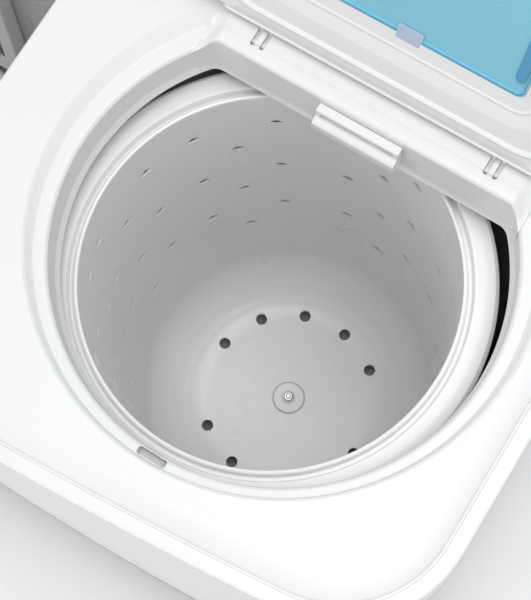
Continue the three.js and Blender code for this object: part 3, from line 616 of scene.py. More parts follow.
def bar_columns():
    """Pairs of points: one on the opening's rim and its partner on the bar's outer edge."""
    corner = 13
    fillet_y = BAR_FRONT - corner
    fillet_x = math.sqrt((OPEN_R - corner) ** 2 - (fillet_y - OPEN_Y) ** 2)
    turn = math.atan2(fillet_y - OPEN_Y, fillet_x)
    side = BAR_SIDE
    start = math.acos(side / OPEN_R)
    rim = arc(OPEN_X, OPEN_Y, OPEN_R, start, turn, 12)
    rim += arc(OPEN_X + fillet_x, fillet_y, corner, turn, math.pi / 2, 14)[1:]
    start_y, turn_y = rim[0][1], 71.3
    edge = [(side, start_y + (turn_y - start_y) * i / 12) for i in range(13)]
    edge += [(side, turn_y + (BAR_BACK - turn_y) * i / 9) for i in range(1, 10)]
    edge += [(side + (fillet_x - side) * i / 5, BAR_BACK) for i in range(1, 6)]
    right = [((x, y), (OPEN_X + ex, ey)) for (x, y), (ex, ey) in zip(rim, edge)]
    chord = [(OPEN_X + fillet_x * (1 - 2 * i / 40)) for i in range(1, 40)]
    middle = [((x, BAR_FRONT), (x, BAR_BACK)) for x in chord]
    left = [((2 * OPEN_X - x, y), (2 * OPEN_X - ex, ey)) for (x, y), (ex, ey) in reversed(right)]
    return right + middle + left


def bar_column(rim, edge, inward):
    """One cross-section of the spin bar, from the rim's foot over the top and down the outside."""
    fillet = 3.4
    start, stop = Vector(rim), Vector(edge)
    length = (stop - start).length
    along = (stop - start) / max(length, 1e-6)
    scale = min(1, length / 9)
    lip = start + inward * FOOT_LIP
    points = [(*lip, FOOT_Z), (*lip, FOOT_Z + 0.6), (*start, FOOT_Z + 6)]
    for k in range(7):
        angle = math.pi / 2 * k / 6
        p = start + along * (fillet * scale * (1 - math.cos(angle)))
        points.append((*p, bar_height(*p) - fillet * scale * (1 - math.sin(angle))))
    inner = start + along * (fillet * scale)
    for share in (0.08, 0.18, 0.205, 0.23, 0.36, 0.49, 0.515, 0.54, 0.7, 0.85, 1):
        p = inner.lerp(stop, share)
        points.append((*p, bar_height(*p)))
    points.append((*stop, FOOT_Z))
    return points


def hinge_slots(arms, front):
    slots = []
    for x in arms:
        for shift in (0, ARM_PITCH):
            x0 = x + shift - 0.4
            outline = round_rect(x0, x0 + 3.2, front, SLOT_BACK, 1.55, 5)
            slots.append(prism("slot", outline, BAR_TOP - 7.6, BAR_TOP + 2))
    return slots


def slot_bosses(arms, front, z):
    """The small domed boss between each pair of hinge slots."""
    bosses = []
    for x in arms:
        profile = [(0, z - 1), (2.3, z - 1), (2.2, z + 0.1), (1.6, z + 0.75), (0.7, z + 1.05), (0, z + 1.1)]
        bosses.append(lathe("boss", profile, x + ARM_PITCH / 2 + 1.2, front - 0.4, 24))
    return bosses


def make_spin_bar():
    columns = bar_columns()
    loops = []
    for i, (rim, edge) in enumerate(columns):
        before, after = columns[max(i - 1, 0)][0], columns[min(i + 1, len(columns) - 1)][0]
        run = Vector(after) - Vector(before)
        loops.append(bar_column(rim, edge, Vector((-run.y, run.x)).normalized()))
    bar = skin("spin_bar", loops)
    carve(bar, *hinge_slots(SPIN_ARMS, SLOT_FRONT))
    merge(bar, *slot_bosses(SPIN_ARMS, SLOT_FRONT, BAR_TOP - 0.2))
    place(bar, WHITE, "machine", "white_plastic", "spin_hinge_bar", angle=45)


def make_wash_bar():
    x0, x1 = WASH_BAR
    z0 = 779
    profile = rounded([(BAR_FRONT, z0), (BAR_BACK, z0), (BAR_BACK, BAR_TOP - 0.6, 0.5),
                       (BAR_FRONT + 20, BAR_TOP - 0.5, 0.3), (BAR_FRONT + 10, BAR_TOP - 0.2, 0.3),
                       (BAR_FRONT, BAR_TOP, 4)], 1, 6)
    bar = profile_x("wash_bar", profile, x0, x1)
    hollow = box("hollow", x0 + 3, x1 - 3, BAR_FRONT + 4, BAR_BACK + 1, z0 + 3, BAR_TOP - 11)
    carve(bar, hollow, *hinge_slots(WASH_ARMS, SLOT_FRONT))
    merge(bar, *slot_bosses(WASH_ARMS, SLOT_FRONT, BAR_TOP - 0.2))
    place(bar, WHITE, "machine", "white_plastic", "wash_hinge_bar")


def make_spout(name, x, width, z0, z1, reach):
    """A rinse spout: a flat box mouth whose rounded lower lip reaches further out."""
    half = width / 2
    y = BAR_FRONT - 0.3
    outer = rounded([
        (y, z1), (y - reach + 2.2, z1, 1.2), (y - reach + 1.4, z1 - 6.4, 0.6),
        (y - reach - 3.6, z1 - 9, 2.5), (y - reach - 3.6, z0 + 5, 4), (y - reach + 1, z0, 2.5), (y, z0),
    ], 0.4, 4)
    mouth = [(y - 20, z1 - 2.6), (y + 2, z1 - 2.6), (y + 2, z1 - 7.4), (y - 20, z1 - 6.6)]
    spout = bevel(profile_x(name, outer, x - half, x + half), 2, 4)
    carve(spout, profile_x("mouth", mouth, x - half + 3.4, x + half - 3.4))
    place(bevel(spout, 0.7, 3, 50), WHITE, "machine", "white_plastic", name)


# ---- spin basket ---------------------------------------------------------------------------------

SLIT_GROUPS = (82.9, 133.9, 179.5, 217.8, 37.3)
SLIT_COLUMN_DEG = 13.7
SLIT_PITCH = 80.2
SLIT_TOP = RIM_Z - 44.4
DRAIN_ANGLES = [20.2 + 30 * i for i in range(12) if i % 6]
DRAIN_CIRCLE = 0.595 * BASKET_R
LOUVRE_OUT = 0.9
LOUVRE_IN = 0.3


def slit_places():
    """Angle in radians and height of every wall slit: staggered threes in five groups."""
    for centre in SLIT_GROUPS:
        for column in (-1, 0, 1):
            for row in range(3):
                drop = (row + (0.5 if column == 0 else 0)) * SLIT_PITCH
                yield math.radians(centre + column * SLIT_COLUMN_DEG), SLIT_TOP - drop


def slit_cutter(angle, z):
    """A lens-shaped cutter through the wall."""
    half, rise = 4.6, 2.3
    lens = [(half * math.cos(t), rise * math.sin(t) * abs(math.sin(t)) ** 0.3)
            for t in (2 * math.pi * i / 20 for i in range(20))]
    turn = Matrix.Rotation(angle, 3, "Z")
    loops = []
    for r in (108, 130):
        loops.append([Vector((BASKET_X, BASKET_Y, z)) + turn @ Vector((r, u, v)) for u, v in lens])
    return skin("slit", loops)


def press_louvres(basket):
    """Dents the wall round each slit: the upper edge outwards, the lower edge inwards."""
    places = list(slit_places())
    for vertex in basket.data.vertices:
        x, y, z = vertex.co / MM
        dx, dy = x - BASKET_X, y - BASKET_Y
        radius = math.hypot(dx, dy)
        if radius < 112 or radius > 121:
            continue
        for angle, height in places:
            along = (math.atan2(dy, dx) - angle + math.pi) % (2 * math.pi) - math.pi
            u, v = along * radius, z - height
            if abs(u) > 12 or abs(v) > 9:
                continue
            side = math.exp(-(u / 4.6) ** 2)
            upper = LOUVRE_OUT * math.exp(-((v - 2) / 2.2) ** 2)
            lower = LOUVRE_IN * math.exp(-((v + 2.4) / 2.2) ** 2)
            push = side * (upper - lower)
            vertex.co.x += dx / radius * push * MM
            vertex.co.y += dy / radius * push * MM


def basket_profile():
    wall_foot, taper_z = 428, 738
    corner_x, corner_r = 66, 49
    taper = BASKET_R - corner_x - corner_r
    top = RIM_Z - 4.2
    rows = 104
    inner = []
    for i in range(rows):
        z = top - (top - wall_foot) * i / rows
        inner.append((BASKET_R - taper * max(taper_z - z, 0) / (taper_z - wall_foot), z))
    for i in range(33):
        angle = math.pi / 2 * i / 32
        r = corner_x + corner_r * math.cos(angle)
        bead = sum(0.45 * math.exp(-((r - at) / 1.4) ** 2) for at in (84, 96))
        inner.append((r, wall_foot - (wall_foot - FLOOR_Z) * math.sin(angle) + bead))
    inner += [(r, FLOOR_Z) for r in (58, 44, 30, 20, 13, 6)]
    outer = [(0, FLOOR_Z), (0, FLOOR_Z - 1.4)]
    outer += arc(corner_x, wall_foot, corner_r + 1.4, -math.pi / 2, 0, 14)
    return inner + outer + [(BASKET_R + 1.4, taper_z), (BASKET_R + 1.4, top)]


def make_basket():
    basket = lathe("basket", basket_profile(), BASKET_X, BASKET_Y, 300)
    press_louvres(basket)
    drains = []
    for deg in DRAIN_ANGLES:
        turn = math.radians(deg)
        x = BASKET_X + DRAIN_CIRCLE * math.cos(turn)
        y = BASKET_Y + DRAIN_CIRCLE * math.sin(turn)
        profile = [(0, FLOOR_Z - 8), (4.7, FLOOR_Z - 8), (4.7, FLOOR_Z + 0.2), (5.3, FLOOR_Z + 0.9),
                   (5.8, FLOOR_Z + 8), (0, FLOOR_Z + 8)]
        drains.append(lathe("drain", profile, x, y, 28))
    slits = [slit_cutter(angle, z) for angle, z in slit_places()]
    carve(basket, merge(*slits), merge(*drains))
    merge(basket, dish(BASKET_X, BASKET_Y, 21, FLOOR_Z - 15, FLOOR_Z - 2.5))
    place(basket, BASKET, "spin_rotor", "basket_grey", "spin_basket", angle=40)


def make_ring():
    """The balance ring, with the basket's white top lip and the groove between them."""
    top = RIM_Z
    profile = rounded([
        (122.9, 706), (138, 706, 2), (142, 711, 2), (142.2, top - 4, 2.5), (139.6, top - 1.9),
        (134, top - 1), (129, top - 0.6), (127, top - 0.6, 0.5), (125.6, top - 7, 0.6),
        (123.3, top - 7, 0.5), (122.7, top - 0.6, 0.5),
        (121.3, top, 0.9), (119.8, top - 0.5, 0.9), (119.9, top - 4, 0.4), (122.9, top - 6, 0.3),
    ], 0.5, 4)
    ring = lathe("balance_ring_trim", profile, BASKET_X, BASKET_Y, 256)
    place(ring, RING, "spin_rotor", "ring_white", "balance_ring", angle=50)


def make_basket_bolt():
    z = FLOOR_Z
    washer = rounded([(4.6, z + 0.2), (12.9, z + 0.2), (12.6, z + 1.7, 0.8), (4.6, z + 1.5, 0.3)], 0.2, 3)
    ring = lathe("bolt_washer", washer, BASKET_X, BASKET_Y, 64)
    # Painted shade: a thin dark grey ring laid on the floor round the washer's edge darkens the crease
    # where the washer meets the floor.
    groove = lathe("washer_crease_shade", [(12.9, z - 0.1), (13.7, z - 0.1), (13.7, z + 0.25), (12.9, z + 0.25)],
                   BASKET_X, BASKET_Y, 64)
    place(ring, BASKET, "spin_rotor", "basket_grey", "basket_washer")
    place(groove, FRAME_GREY, "spin_rotor", "basket_grey")
    head = [(0, z + 1), (5.4, z + 1), (5.5, z + 3), (5.1, z + 4.6), (4.2, z + 5.7), (2.9, z + 6.4),
            (2.3, z + 5.6), (1.2, z + 5.3), (0, z + 5.3)]
    bolt = lathe("bolt_head", head, BASKET_X, BASKET_Y, 40)
    place(bolt, CHROME, "spin_rotor", "chrome_bolt", "basket_bolt")


def make_outer_tub():
    z, flange_z, r = span("outer_spin_tub")[0][2], 758, OUTER_TUB_R
    profile = rounded([
        (38, z), (118, z, 8), (r, z + 20, 12), (r + 2.5, flange_z, 0.5), (r + 9, flange_z, 0.5),
        (r + 9, flange_z + 3, 0.5), (r, flange_z + 3, 0.5), (r - 2.5, z + 22, 12), (117, z + 3, 8),
        (38, z + 3),
    ], 1, 5)
    tub = lathe("outer_tub", profile, OPEN_X, OPEN_Y, 96)
    place(tub, TUB_DARK, "machine", "tub_dark", "outer_spin_tub")


# ---- wash side -----------------------------------------------------------------------------------

def tub_outline(grow):
    return round_rect(WASH_X0 + 1 - grow, WASH_X1 - 1 + grow, WASH_Y0 + 1 - grow, 97 + grow,
                      WASH_CORNER + grow, 14)


def make_wash_tub():
    z = WASH_FLOOR_Z
    levels = [(-50, z), (-44, z + 0.4), (-34, z + 3), (-24, z + 9), (-18.5, z + 17), (-17.5, z + 24),
              (-12, z + 130), (-5, z + 250), (0, 766), (0.6, 767.4), (2, 768), (7.4, 768), (8, 767.4),
              (8, 765), (7.4, 764.4), (2.5, 764), (-14, z + 6), (-30, z - 4)]
    tub = skin("wash_tub_shell", [[(x, y, h) for x, y in tub_outline(g)] for g, h in levels])
    drain = rounded([(0, z - 20, 0), (17, z - 20), (17, z - 0.6), (21, z + 2.5), (0, z + 20, 0)], 1, 3)
    carve(
        tub,
        dish(WASH_X, WASH_Y, 13, z - 20, z + 20),
        lathe("drain_hole", drain, VALVE_X, VALVE_Y, 40),
        box("filter_slot", WASH_X0 - 8, WASH_X0 + 22, -46, -14, 580, 620),
    )
    place(tub, TUB, "machine", "tub_grey", "wash_tub")


def pulsator_vane(deg):
    """One tall rounded vane, tapering outwards."""
    loops = []
    for r, half, top in ((12, 6.5, 473), (26, 6, 472.6), (50, 5, 470), (76, 4.4, 467), (94, 3.2, 464),
                         (101, 1.5, 460)):
        corners = [(-half - 2, 450), (half + 2, 450), (half, top, half), (-half, top, half)]
        section = rounded(corners, 0.5, 4)
        turn = Matrix.Rotation(math.radians(deg), 3, "Z")
        loops.append([Vector((WASH_X, WASH_Y, 0)) + turn @ Vector((r, u, v)) for u, v in section])
    return skin("vane", loops)


def make_pulsator():
    profile = rounded([
        (8.4, 446), (60, 446, 6), (104, 454, 4), (110, 459, 2), (106, 462, 2), (60, 455.5, 14),
        (32, 461, 8), (25, 473.5, 4), (8.4, 474, 1),
    ], 1, 6)
    pulsator = lathe("pulsator_disc", profile, WASH_X, WASH_Y, 96)
    merge(pulsator, *[pulsator_vane(deg) for deg in (0, 90, 180, 270)])
    place(pulsator, RING, "pulsator", "pulsator_white", "pulsator")
    cap = rounded([(0, 469, 0), (8.2, 469), (8.2, 474.5), (7, 476, 0.6), (5.5, 477.6), (0, 478, 0)], 0.6, 3)
    screw = lathe("pulsator_cap", cap, WASH_X, WASH_Y, 32)
    place(screw, STEEL, "pulsator", "steel", "pulsator_screw")


def make_overflow_cover():
    cover = profile_x("overflow_grille", [(66, 480), (79.6, 480), (92, 700), (78, 700)], -240, -118)
    carve(cover, profile_x("hollow", [(69, 484), (100, 484), (100, 696), (81, 696)], -237, -121))
    slots = []
    for i in range(6):
        x = -229 + i * 18
        profile = [(x + u, z) for u, z in round_rect(0, 8, 500, 640, 3.9, 5)]
        slots.append(profile_y("slot", profile, 55, 92))
    carve(bevel(cover, 1.6, 3), merge(*slots))
    place(cover, RING, "machine", "white_plastic", "overflow_cover")


def make_lint_filter():
    x = WASH_X0 + 14
    tray = bevel(box("lint_frame", x, x + 18, -56, -4, 566, 634), 2, 3)
    carve(tray, box("hollow", x + 3, x + 30, -51, -9, 571, 640))
    ribs = [box("rib", x + 15.5, x + 17.5, -52, -8, z, z + 1.6) for z in range(578, 632, 9)]
    ribs += [box("rib", x + 15.5, x + 17.5, y, y + 1.6, 568, 632) for y in range(-46, -10, 9)]
    merge(tray, *ribs)
    place(tray, PALE_BLUE, "lint_filter", "blue_plastic", "lint_filter")


# ---- lids: built closed about the hinge axis, then swung open ------------------------------------

def swing_open(obj):
    swing = Matrix.Rotation(math.radians(-LID_OPEN_DEG), 4, "X")
    obj.data.transform(Matrix.Translation((0, HINGE_Y * MM, HINGE_Z * MM)) @ swing)
    return obj


def ray_radius(outline, cx, cy, angle):
    """How far an outline lies from (cx, cy) in one direction."""
    dx, dy = math.cos(angle), math.sin(angle)
    reach = 0
    for i, (x1, y1) in enumerate(outline):
        x0, y0 = outline[i - 1]
        side0 = (x0 - cx) * dy - (y0 - cy) * dx
        side1 = (x1 - cx) * dy - (y1 - cy) * dx
        if side0 * side1 > 0 or side0 == side1:
            continue
        t = side0 / (side0 - side1)
        reach = max(reach, (x0 + (x1 - x0) * t - cx) * dx + (y0 + (y1 - y0) * t - cy) * dy)
    return reach


def ray_loop(outline, centre, z, limit=None, count=360):
    """An outline resampled by direction from a centre, and kept within a second outline."""
    cx, cy = centre
    loop = []
    for i in range(count):
        angle = 2 * math.pi * (i + 0.5) / count
        r = ray_radius(outline, cx, cy, angle)
        if limit:
            r = min(r, ray_radius(limit, cx, cy, angle))
        loop.append((cx + r * math.cos(angle), cy + r * math.sin(angle), z))
    return loop


def window_rect(x, half, grow):
    corner = 5 + max(grow, 0)
    return round_rect(x - half - grow, x + half + grow, WINDOW_FAR - grow, WINDOW_NEAR + grow, corner, 10)


def lid_shell(name, x, half, rim, skirt_z, top):
    """A lid's shell; `rim(inset)` gives its outline. The middle is stepped down to the window."""
    centre = (x, (WINDOW_NEAR + WINDOW_FAR) / 2)
    inner = rim(17)
    steps = [(0, top - 0.8), (0, 5.6), (0.5, 5), (9.6, 4.2), (10.4, 3.5), (11.4, 3.4), (12.4, 4),
             (20.5, 1.7), (22.5, 1.3)]
    loops = [ray_loop(window_rect(x, half, grow), centre, z, inner) for grow, z in steps]
    edges = [(15.4, 1.1), (14.6, 0.3), (13.9, -0.5), (12.9, -0.9), (12, -0.5), (11.3, 0.4), (4.6, 0.4),
             (3.4, 0.1), (3, -0.6), (3, skirt_z + 0.6), (2.6, skirt_z), (0.6, skirt_z),
             (0, skirt_z + 0.6), (0, top - 3), (0.6, top - 1.2), (1.8, top - 0.3), (3.4, top)]
    loops += [ray_loop(rim(inset), centre, z) for inset, z in edges]
    loops += [ray_loop(window_rect(x, half, grow), centre, z, rim(5))
              for grow, z in ((5, top), (4.2, top - 0.3), (4, top - 1), (4, top - 3.4), (0, top - 3.4))]
    return skin(name, loops, wrap=True)


def hinge_arms(places, top):
    """The lid's goosenecks: they reach over the bar's front and round the pin."""
    profile = rounded([
        (-18, top - 1, 0), (-18, 5.6), (-4, 5.6, 2), (-2, 3.6, 1.5), (-2.2, 0, 2), (-1.2, -2.2, 1.2),
        (1.2, -2.2, 1.2), (2.2, 0, 2), (2.2, 5, 2), (1.4, top - 1.4, 3), (-4, top - 1, 3),
    ], 1, 5)
    arms = []
    for x in places:
        for shift in (0, ARM_PITCH):
            side = x + shift - 0.25
            arm = profile_x("arm", profile, side, side + ARM_T)
            carve(arm, profile_x("bore", circle(0, 0, 1.3, 20), side - 1, side + ARM_T + 1))
            arms.append(bevel(arm, 0.3, 2, 50))
    return arms


def make_window(name, x, half, top, node, tab):
    """The tinted window: a moulded pane with a raised edge, a finger tab and a stiffening bar."""
    body, tab_x0, tab_x1 = tab
    centre = (x, (WINDOW_NEAR + WINDOW_FAR) / 2)
    low, high = top - 3.8, top - 0.3
    levels = [
        (-5, low + 1.4), (-1.2, low + 1.2), (-0.7, low - 0.6), (0.3, low - 0.7), (0.6, low), (3.6, low),
        (3.7, high - 0.5), (3.2, high), (-1, high), (-1.6, high - 0.6), (-5, high - 0.7),
    ]
    loops = [ray_loop(window_rect(x, half - 0.6, grow), centre, z) for grow, z in levels]
    pane = swing_open(skin(name, loops))
    place(pane, WINDOW, body, "window_blue", node, angle=30)
    rim_levels = [(0.3, low - 0.2), (-0.5, low - 0.9), (-0.9, low - 0.8), (-0.9, low + 0.9),
                  (0.3, low + 0.9)]
    edge = skin(name + "_edge", [ray_loop(window_rect(x, half - 0.6, grow), centre, z)
                                 for grow, z in rim_levels], wrap=True)
    right = x + half - 6.4
    bar = loft(name + "_bar", [
        (round_rect(right - 3.2 + g, right + 3.2 - g, WINDOW_FAR + 20, WINDOW_NEAR - 9.5 - g, 3.1 - g), z)
        for g, z in ((0, low + 1.3), (0, low + 0.4), (0.5, low - 0.1), (1.4, low - 0.3))
    ])
    finger = loft(name + "_tab", [
        (round_rect(tab_x0 + g, tab_x1 - g, WINDOW_NEAR - 6, WINDOW_NEAR + 5 - g, 2), z)
        for g, z in ((0, low + 1), (0, low - 0.3), (0.6, low - 0.9))
    ])
    place(swing_open(edge), WINDOW_DEEP, body, "window_blue")
    place(swing_open(bar), WINDOW_DEEP, body, "window_blue")
    place(swing_open(finger), WINDOW_TAB, body, "window_blue")


def hinge_relief():
    """The cutter that leaves a ramp with a bead along the lid's hinge side, clear of the bar."""
    return profile_x("relief", [
        (10, -20), (10, 5.8), (-9.8, 5.8), (-11, 4.8), (-12.4, 3), (-12.8, 1.6), (-13.3, 0.9), (-14, 0.8),
        (-14.6, 1.4), (-15, 1.9), (-16.2, 1.1), (-18, 0.3), (-24, 0.2), (-24, -20),
    ], -400, 400)


def make_spin_lid():
    cy = OPEN_Y - HINGE_Y
    half = 82

    def rim(inset):
        return d_shape(OPEN_X, cy, LID_R - inset, LID_EDGE_Y - inset,
                       24 - inset if inset < 6 else 34)

    lid = lid_shell("spin_lid", OPEN_X, half, rim, -4.2, LID_TOP)
    carve(lid, hinge_relief())
    catch = bevel(box("catch_tab", OPEN_X - 6, OPEN_X + 6, cy - 144.4, cy - 142, -12.8, 1), 0.6, 2)
    scoop = loft("scoop", [(round_rect(OPEN_X - 30 + g, OPEN_X + 30 - g, cy - 152, cy - 136.6 - g, 5), z)
                           for g, z in ((3, LID_TOP - 4), (1.2, LID_TOP - 2.6), (0, LID_TOP + 1))])
    carve(lid, scoop)
    edge = rounded([(-20, 5.8), (-9.8, 5.8, 1.2), (-9.8, LID_TOP, 1.6), (-20, LID_TOP)], 0.3, 5)
    flange = bevel(profile_x("flange", edge, OPEN_X - 108, OPEN_X + 108), 1.2, 3)
    merge(lid, catch, flange, *hinge_arms(SPIN_ARMS, LID_TOP))
    place(swing_open(lid), WHITE, "spin_lid", "white_plastic", "spin_lid_frame", angle=30)
    make_window("spin_window", OPEN_X, half, LID_TOP, "spin_lid_window", ("spin_lid", 197, 214))


def make_wash_lid():
    half, top = 130, LID_TOP + 2
    seat_z = DECK_Z - HINGE_Z

    def rim(inset):
        return round_rect(WASH_X0 - 8 + inset, WASH_X1 + 8 - inset, WASH_Y0 - 8 - HINGE_Y + inset,
                          LID_EDGE_Y - inset, max(40 - inset, 12), 12)

    lid = lid_shell("wash_lid", WASH_X, half, rim, seat_z + 0.6 - 3.4, top)
    carve(lid, box("relief", -400, 400, -300, 10, -20, seat_z + 0.5))
    merge(lid, *hinge_arms(WASH_ARMS, LID_TOP))
    place(swing_open(lid), WHITE, "wash_lid", "white_plastic", "wash_lid_frame", angle=30)
    make_window("wash_window", WASH_X, half, top, "wash_lid_window",
                ("wash_lid", WASH_X - 12, WASH_X + 12))


# ---- casing --------------------------------------------------------------------------------------

def make_cabinet():
    levels = [(CASE_INSET, 60.6), (CASE_INSET, 76), (CASE_INSET, 640), (CASE_INSET, LEDGE_Z - 6.5)]
    case = loft("case", [(plan(inset), z) for inset, z in levels])
    inside = prism("inside", plan(CASE_INSET + 3), 50, LEDGE_Z)
    opening = box("opening", -335, 335, 200, 232, 92, 738)
    grooves = []
    for z in (96, 744):
        ring = prism("groove", plan(CASE_INSET - 3), z - 1.2, z + 1.2)
        carve(ring, prism("core", plan(CASE_INSET + 1), z - 3, z + 3))
        grooves.append(ring)
    carve(case, inside, opening, *grooves)
    place(case, CABINET, "machine", "white_cabinet", "cabinet_shell", angle=30)


def make_base():
    levels = [(CASE_INSET + 2, 22.5), (CASE_INSET, 25), (CASE_INSET, 57), (CASE_INSET + 1.4, 59.8)]
    base = loft("base", [(plan(inset), z) for inset, z in levels])
    inside = prism("inside", plan(CASE_INSET + 4), 28, 70)
    vents = []
    for block in range(3):
        for bar in range(3):
            x = -230 + block * 46 + bar * 9.5
            vents.append(prism("vent", round_rect(x, x + 6, -128, 38, 3, 5), 0, 40))
    carve(base, inside, merge(*vents), dish(BASKET_X, BASKET_Y, 40, 0, 50))
    place(base, FRAME_GREY, "machine", "grey_plastic", "base_frame", angle=30)
    for i, deg in enumerate((90, 210, 330)):
        x = BASKET_X + 78 * math.cos(math.radians(deg))
        y = BASKET_Y + 78 * math.sin(math.radians(deg))
        cup = lathe(f"spring_cup_{i + 1}", rounded([(12.6, 28), (16, 28), (15.4, 40), (12.6, 40)], 0.7, 3),
                    x, y, 40)
        place(cup, FRAME_GREY, "machine", "grey_plastic")


def make_feet():
    places = {"foot_front_left": (-310, -140), "foot_front_right": (310, -140),
              "foot_rear_left": (-330, 170), "foot_rear_right": (330, 170)}
    profile = rounded([
        (0, 0, 0), (16.5, 0), (19.6, 3, 2), (19, 7.5, 1), (17.4, 9, 0.6), (17.2, 12, 0.6),
        (18, 14, 0.6), (16.9, 22), (0, 22, 0),
    ], 0.9, 3)
    for name, (x, y) in places.items():
        rubber = lathe(name + "_rubber", profile, x, y, 48)
        place(rubber, RUBBER, "machine", "black_rubber", name)


def screw_heads(name, places, y):
    """Pan-head cross-slot screws on the rear face."""
    radius = 3.4
    profile = [(0, 0), (radius, 0), (radius, 0.4), (radius * 0.8, 1), (radius * 0.4, 1.3), (0, 1.35)]
    heads = []
    for x, z in places:
        head = lathe("head", profile, 0, 0, 24)
        carve(head, box("cross", -0.45, 0.45, -2.1, 2.1, 0.6, 2),
              box("cross", -2.1, 2.1, -0.45, 0.45, 0.6, 2))
        heads.append(face_back(head, x, y, z))
    heads[0].name = name
    place(merge(*heads), STEEL, "machine", "steel")


def make_rear_cover():
    def upright(inset):
        return round_rect(-345 + inset, 345 - inset, 80 + inset, 750 - inset, max(12 - inset, 3), 8)

    levels = [(0, 212.4), (0, 214.5), (0.8, 215.2), (14, 215.2), (17, 213.8)]
    through = (200, 225)
    plate = skin("rear_plate", [[(x, y, z) for x, z in upright(inset)] for inset, y in levels])
    holes = []
    for i in range(4):
        for block in range(3):
            outline = round_rect(122 + block * 50, 166 + block * 50, 140 + i * 26, 150 + i * 26, 4.8, 6)
            holes.append(profile_y("vent", outline, *through))
    for i in range(5):
        outline = round_rect(-320, -220, 560 + i * 22, 568 + i * 22, 3.9, 6)
        holes.append(profile_y("louvre", outline, *through))
    holes.append(profile_y("outlet", circle(VALVE_X, 150, 18, 36), *through))
    holes.append(profile_y("gland", circle(GLAND_X, GLAND_Z, 8.4, 36), *through))
    carve(plate, merge(*holes))
    place(plate, REAR_GREY, "machine", "rear_grey", "rear_cover", angle=30)
    spots = [(x, z) for x in (-338.6, 338.6) for z in (96, 260, 420, 580, 736)]
    spots += [(x, 743.6) for x in (-200, 0, 200)] + [(x, 86.4) for x in (-200, 0, 200)]
    screw_heads("rear_screws", spots, 215.1)


def make_gland():
    profile = rounded([
        (0, 0, 0), (8, 0), (8, 8.8), (12.4, 8.8), (12.2, 12.6), (10.6, 14), (0, 14.3, 0),
    ], 0.8, 3)
    gland = face_back(lathe("gland", profile, 0, 0, 40), GLAND_X, 205.2, GLAND_Z)
    place(gland, RUBBER, "machine", "black_rubber", "cord_gland")


def make_control_housing():
    front = [(104.5, 802.6), (104.5, 805.8, 0.3), (98.2, 805.9), (97, 808.6, 1.5), (128.4, 886.2, 10),
             (135.5, PANEL_Z), (211, PANEL_Z, 5), (219.4, 885, 6), (219.4, 802.6)]
    outer = profile_x("housing", rounded(front, 1, 6), 1 - HALF_W, HALF_W - 1)
    inner = [(107, 800), (107, 811), (133, 885), (138, 889), (211, 889), (216.5, 884), (216.5, 800)]
    hollow = profile_x("hollow", inner, 4 - HALF_W, HALF_W - 4)
    inside_plan = prism("plan", plan(4), 790, 900)
    combine(hollow, [inside_plan], "INTERSECT")
    rounding = loft("ends", [(plan(1.2), 795), (plan(1.2), 878), (plan(1.8), 884), (plan(3.4), 888.5),
                             (plan(6), 891), (plan(9), 892.4)])
    combine(outer, [rounding], "INTERSECT")
    hole = prism("hole", round_rect(-338, 338, 148, 206, 3, 4), 880, 900)
    well = loft("well", [(round_rect(-347.4, 347.4, 140.6, 212.4, 9, 8), PANEL_Z - 0.5),
                         (round_rect(-348.2, 348.2, 139.8, 213.2, 9, 8), PANEL_Z + 0.5)])
    carve(outer, hollow, hole, well)
    place(outer, WHITE, "machine", "white_plastic", "control_housing", angle=30)


# ---- controls ------------------------------------------------------------------------------------

def glyph_digit(digit, x, y, z, size):
    """A seven-bar numeral laid flat on the fascia."""
    w, h, t = size * 0.5, size, size * 0.13
    bars = {
        "a": (-w / 2, w / 2, h / 2 - t, h / 2), "g": (-w / 2, w / 2, -t / 2, t / 2),
        "d": (-w / 2, w / 2, -h / 2, -h / 2 + t), "b": (w / 2 - t, w / 2, 0, h / 2),
        "c": (w / 2 - t, w / 2, -h / 2, 0), "f": (-w / 2, -w / 2 + t, 0, h / 2),
        "e": (-w / 2, -w / 2 + t, -h / 2, 0),
    }
    lit = {"0": "abcdef", "1": "bc", "2": "abged", "3": "abgcd", "4": "fgbc", "5": "afgcd",
           "6": "afgcde", "9": "abcdfg"}[digit]
    return [box("bar", x + a, x + b, y + c, y + d, z, z + 0.25) for a, b, c, d in (bars[k] for k in lit)]


def dial_marks(x, labels, first, step, minor):
    """Tick marks and numerals round a knob; angles in degrees, clockwise from the back."""
    z = PANEL_Z + 2.4
    marks = []
    for i in range((len(labels) - 1) * minor + 1):
        angle = math.radians(90 - first - step * i / minor)
        major = i % minor == 0
        r0, r1, half = 24.2, (27.4 if major else 25.9), (0.45 if major else 0.25)
        along = Vector((math.cos(angle), math.sin(angle)))
        side = Vector((-along.y, along.x)) * half
        centre = Vector((x, KNOB_Y))
        corners = [centre + along * r0 - side, centre + along * r1 - side,
                   centre + along * r1 + side, centre + along * r0 + side]
        marks.append(prism("tick", [tuple(c) for c in corners], z, z + 0.25))
    for i, label in enumerate(labels):
        angle = math.radians(90 - first - step * i)
        cx, cy = x + 33.5 * math.cos(angle), KNOB_Y + 30.6 * math.sin(angle)
        for k, digit in enumerate(label):
            shift = (k - (len(label) - 1) / 2) * 3
            marks += glyph_digit(digit, cx + shift, cy, z, 3.6)
    return marks


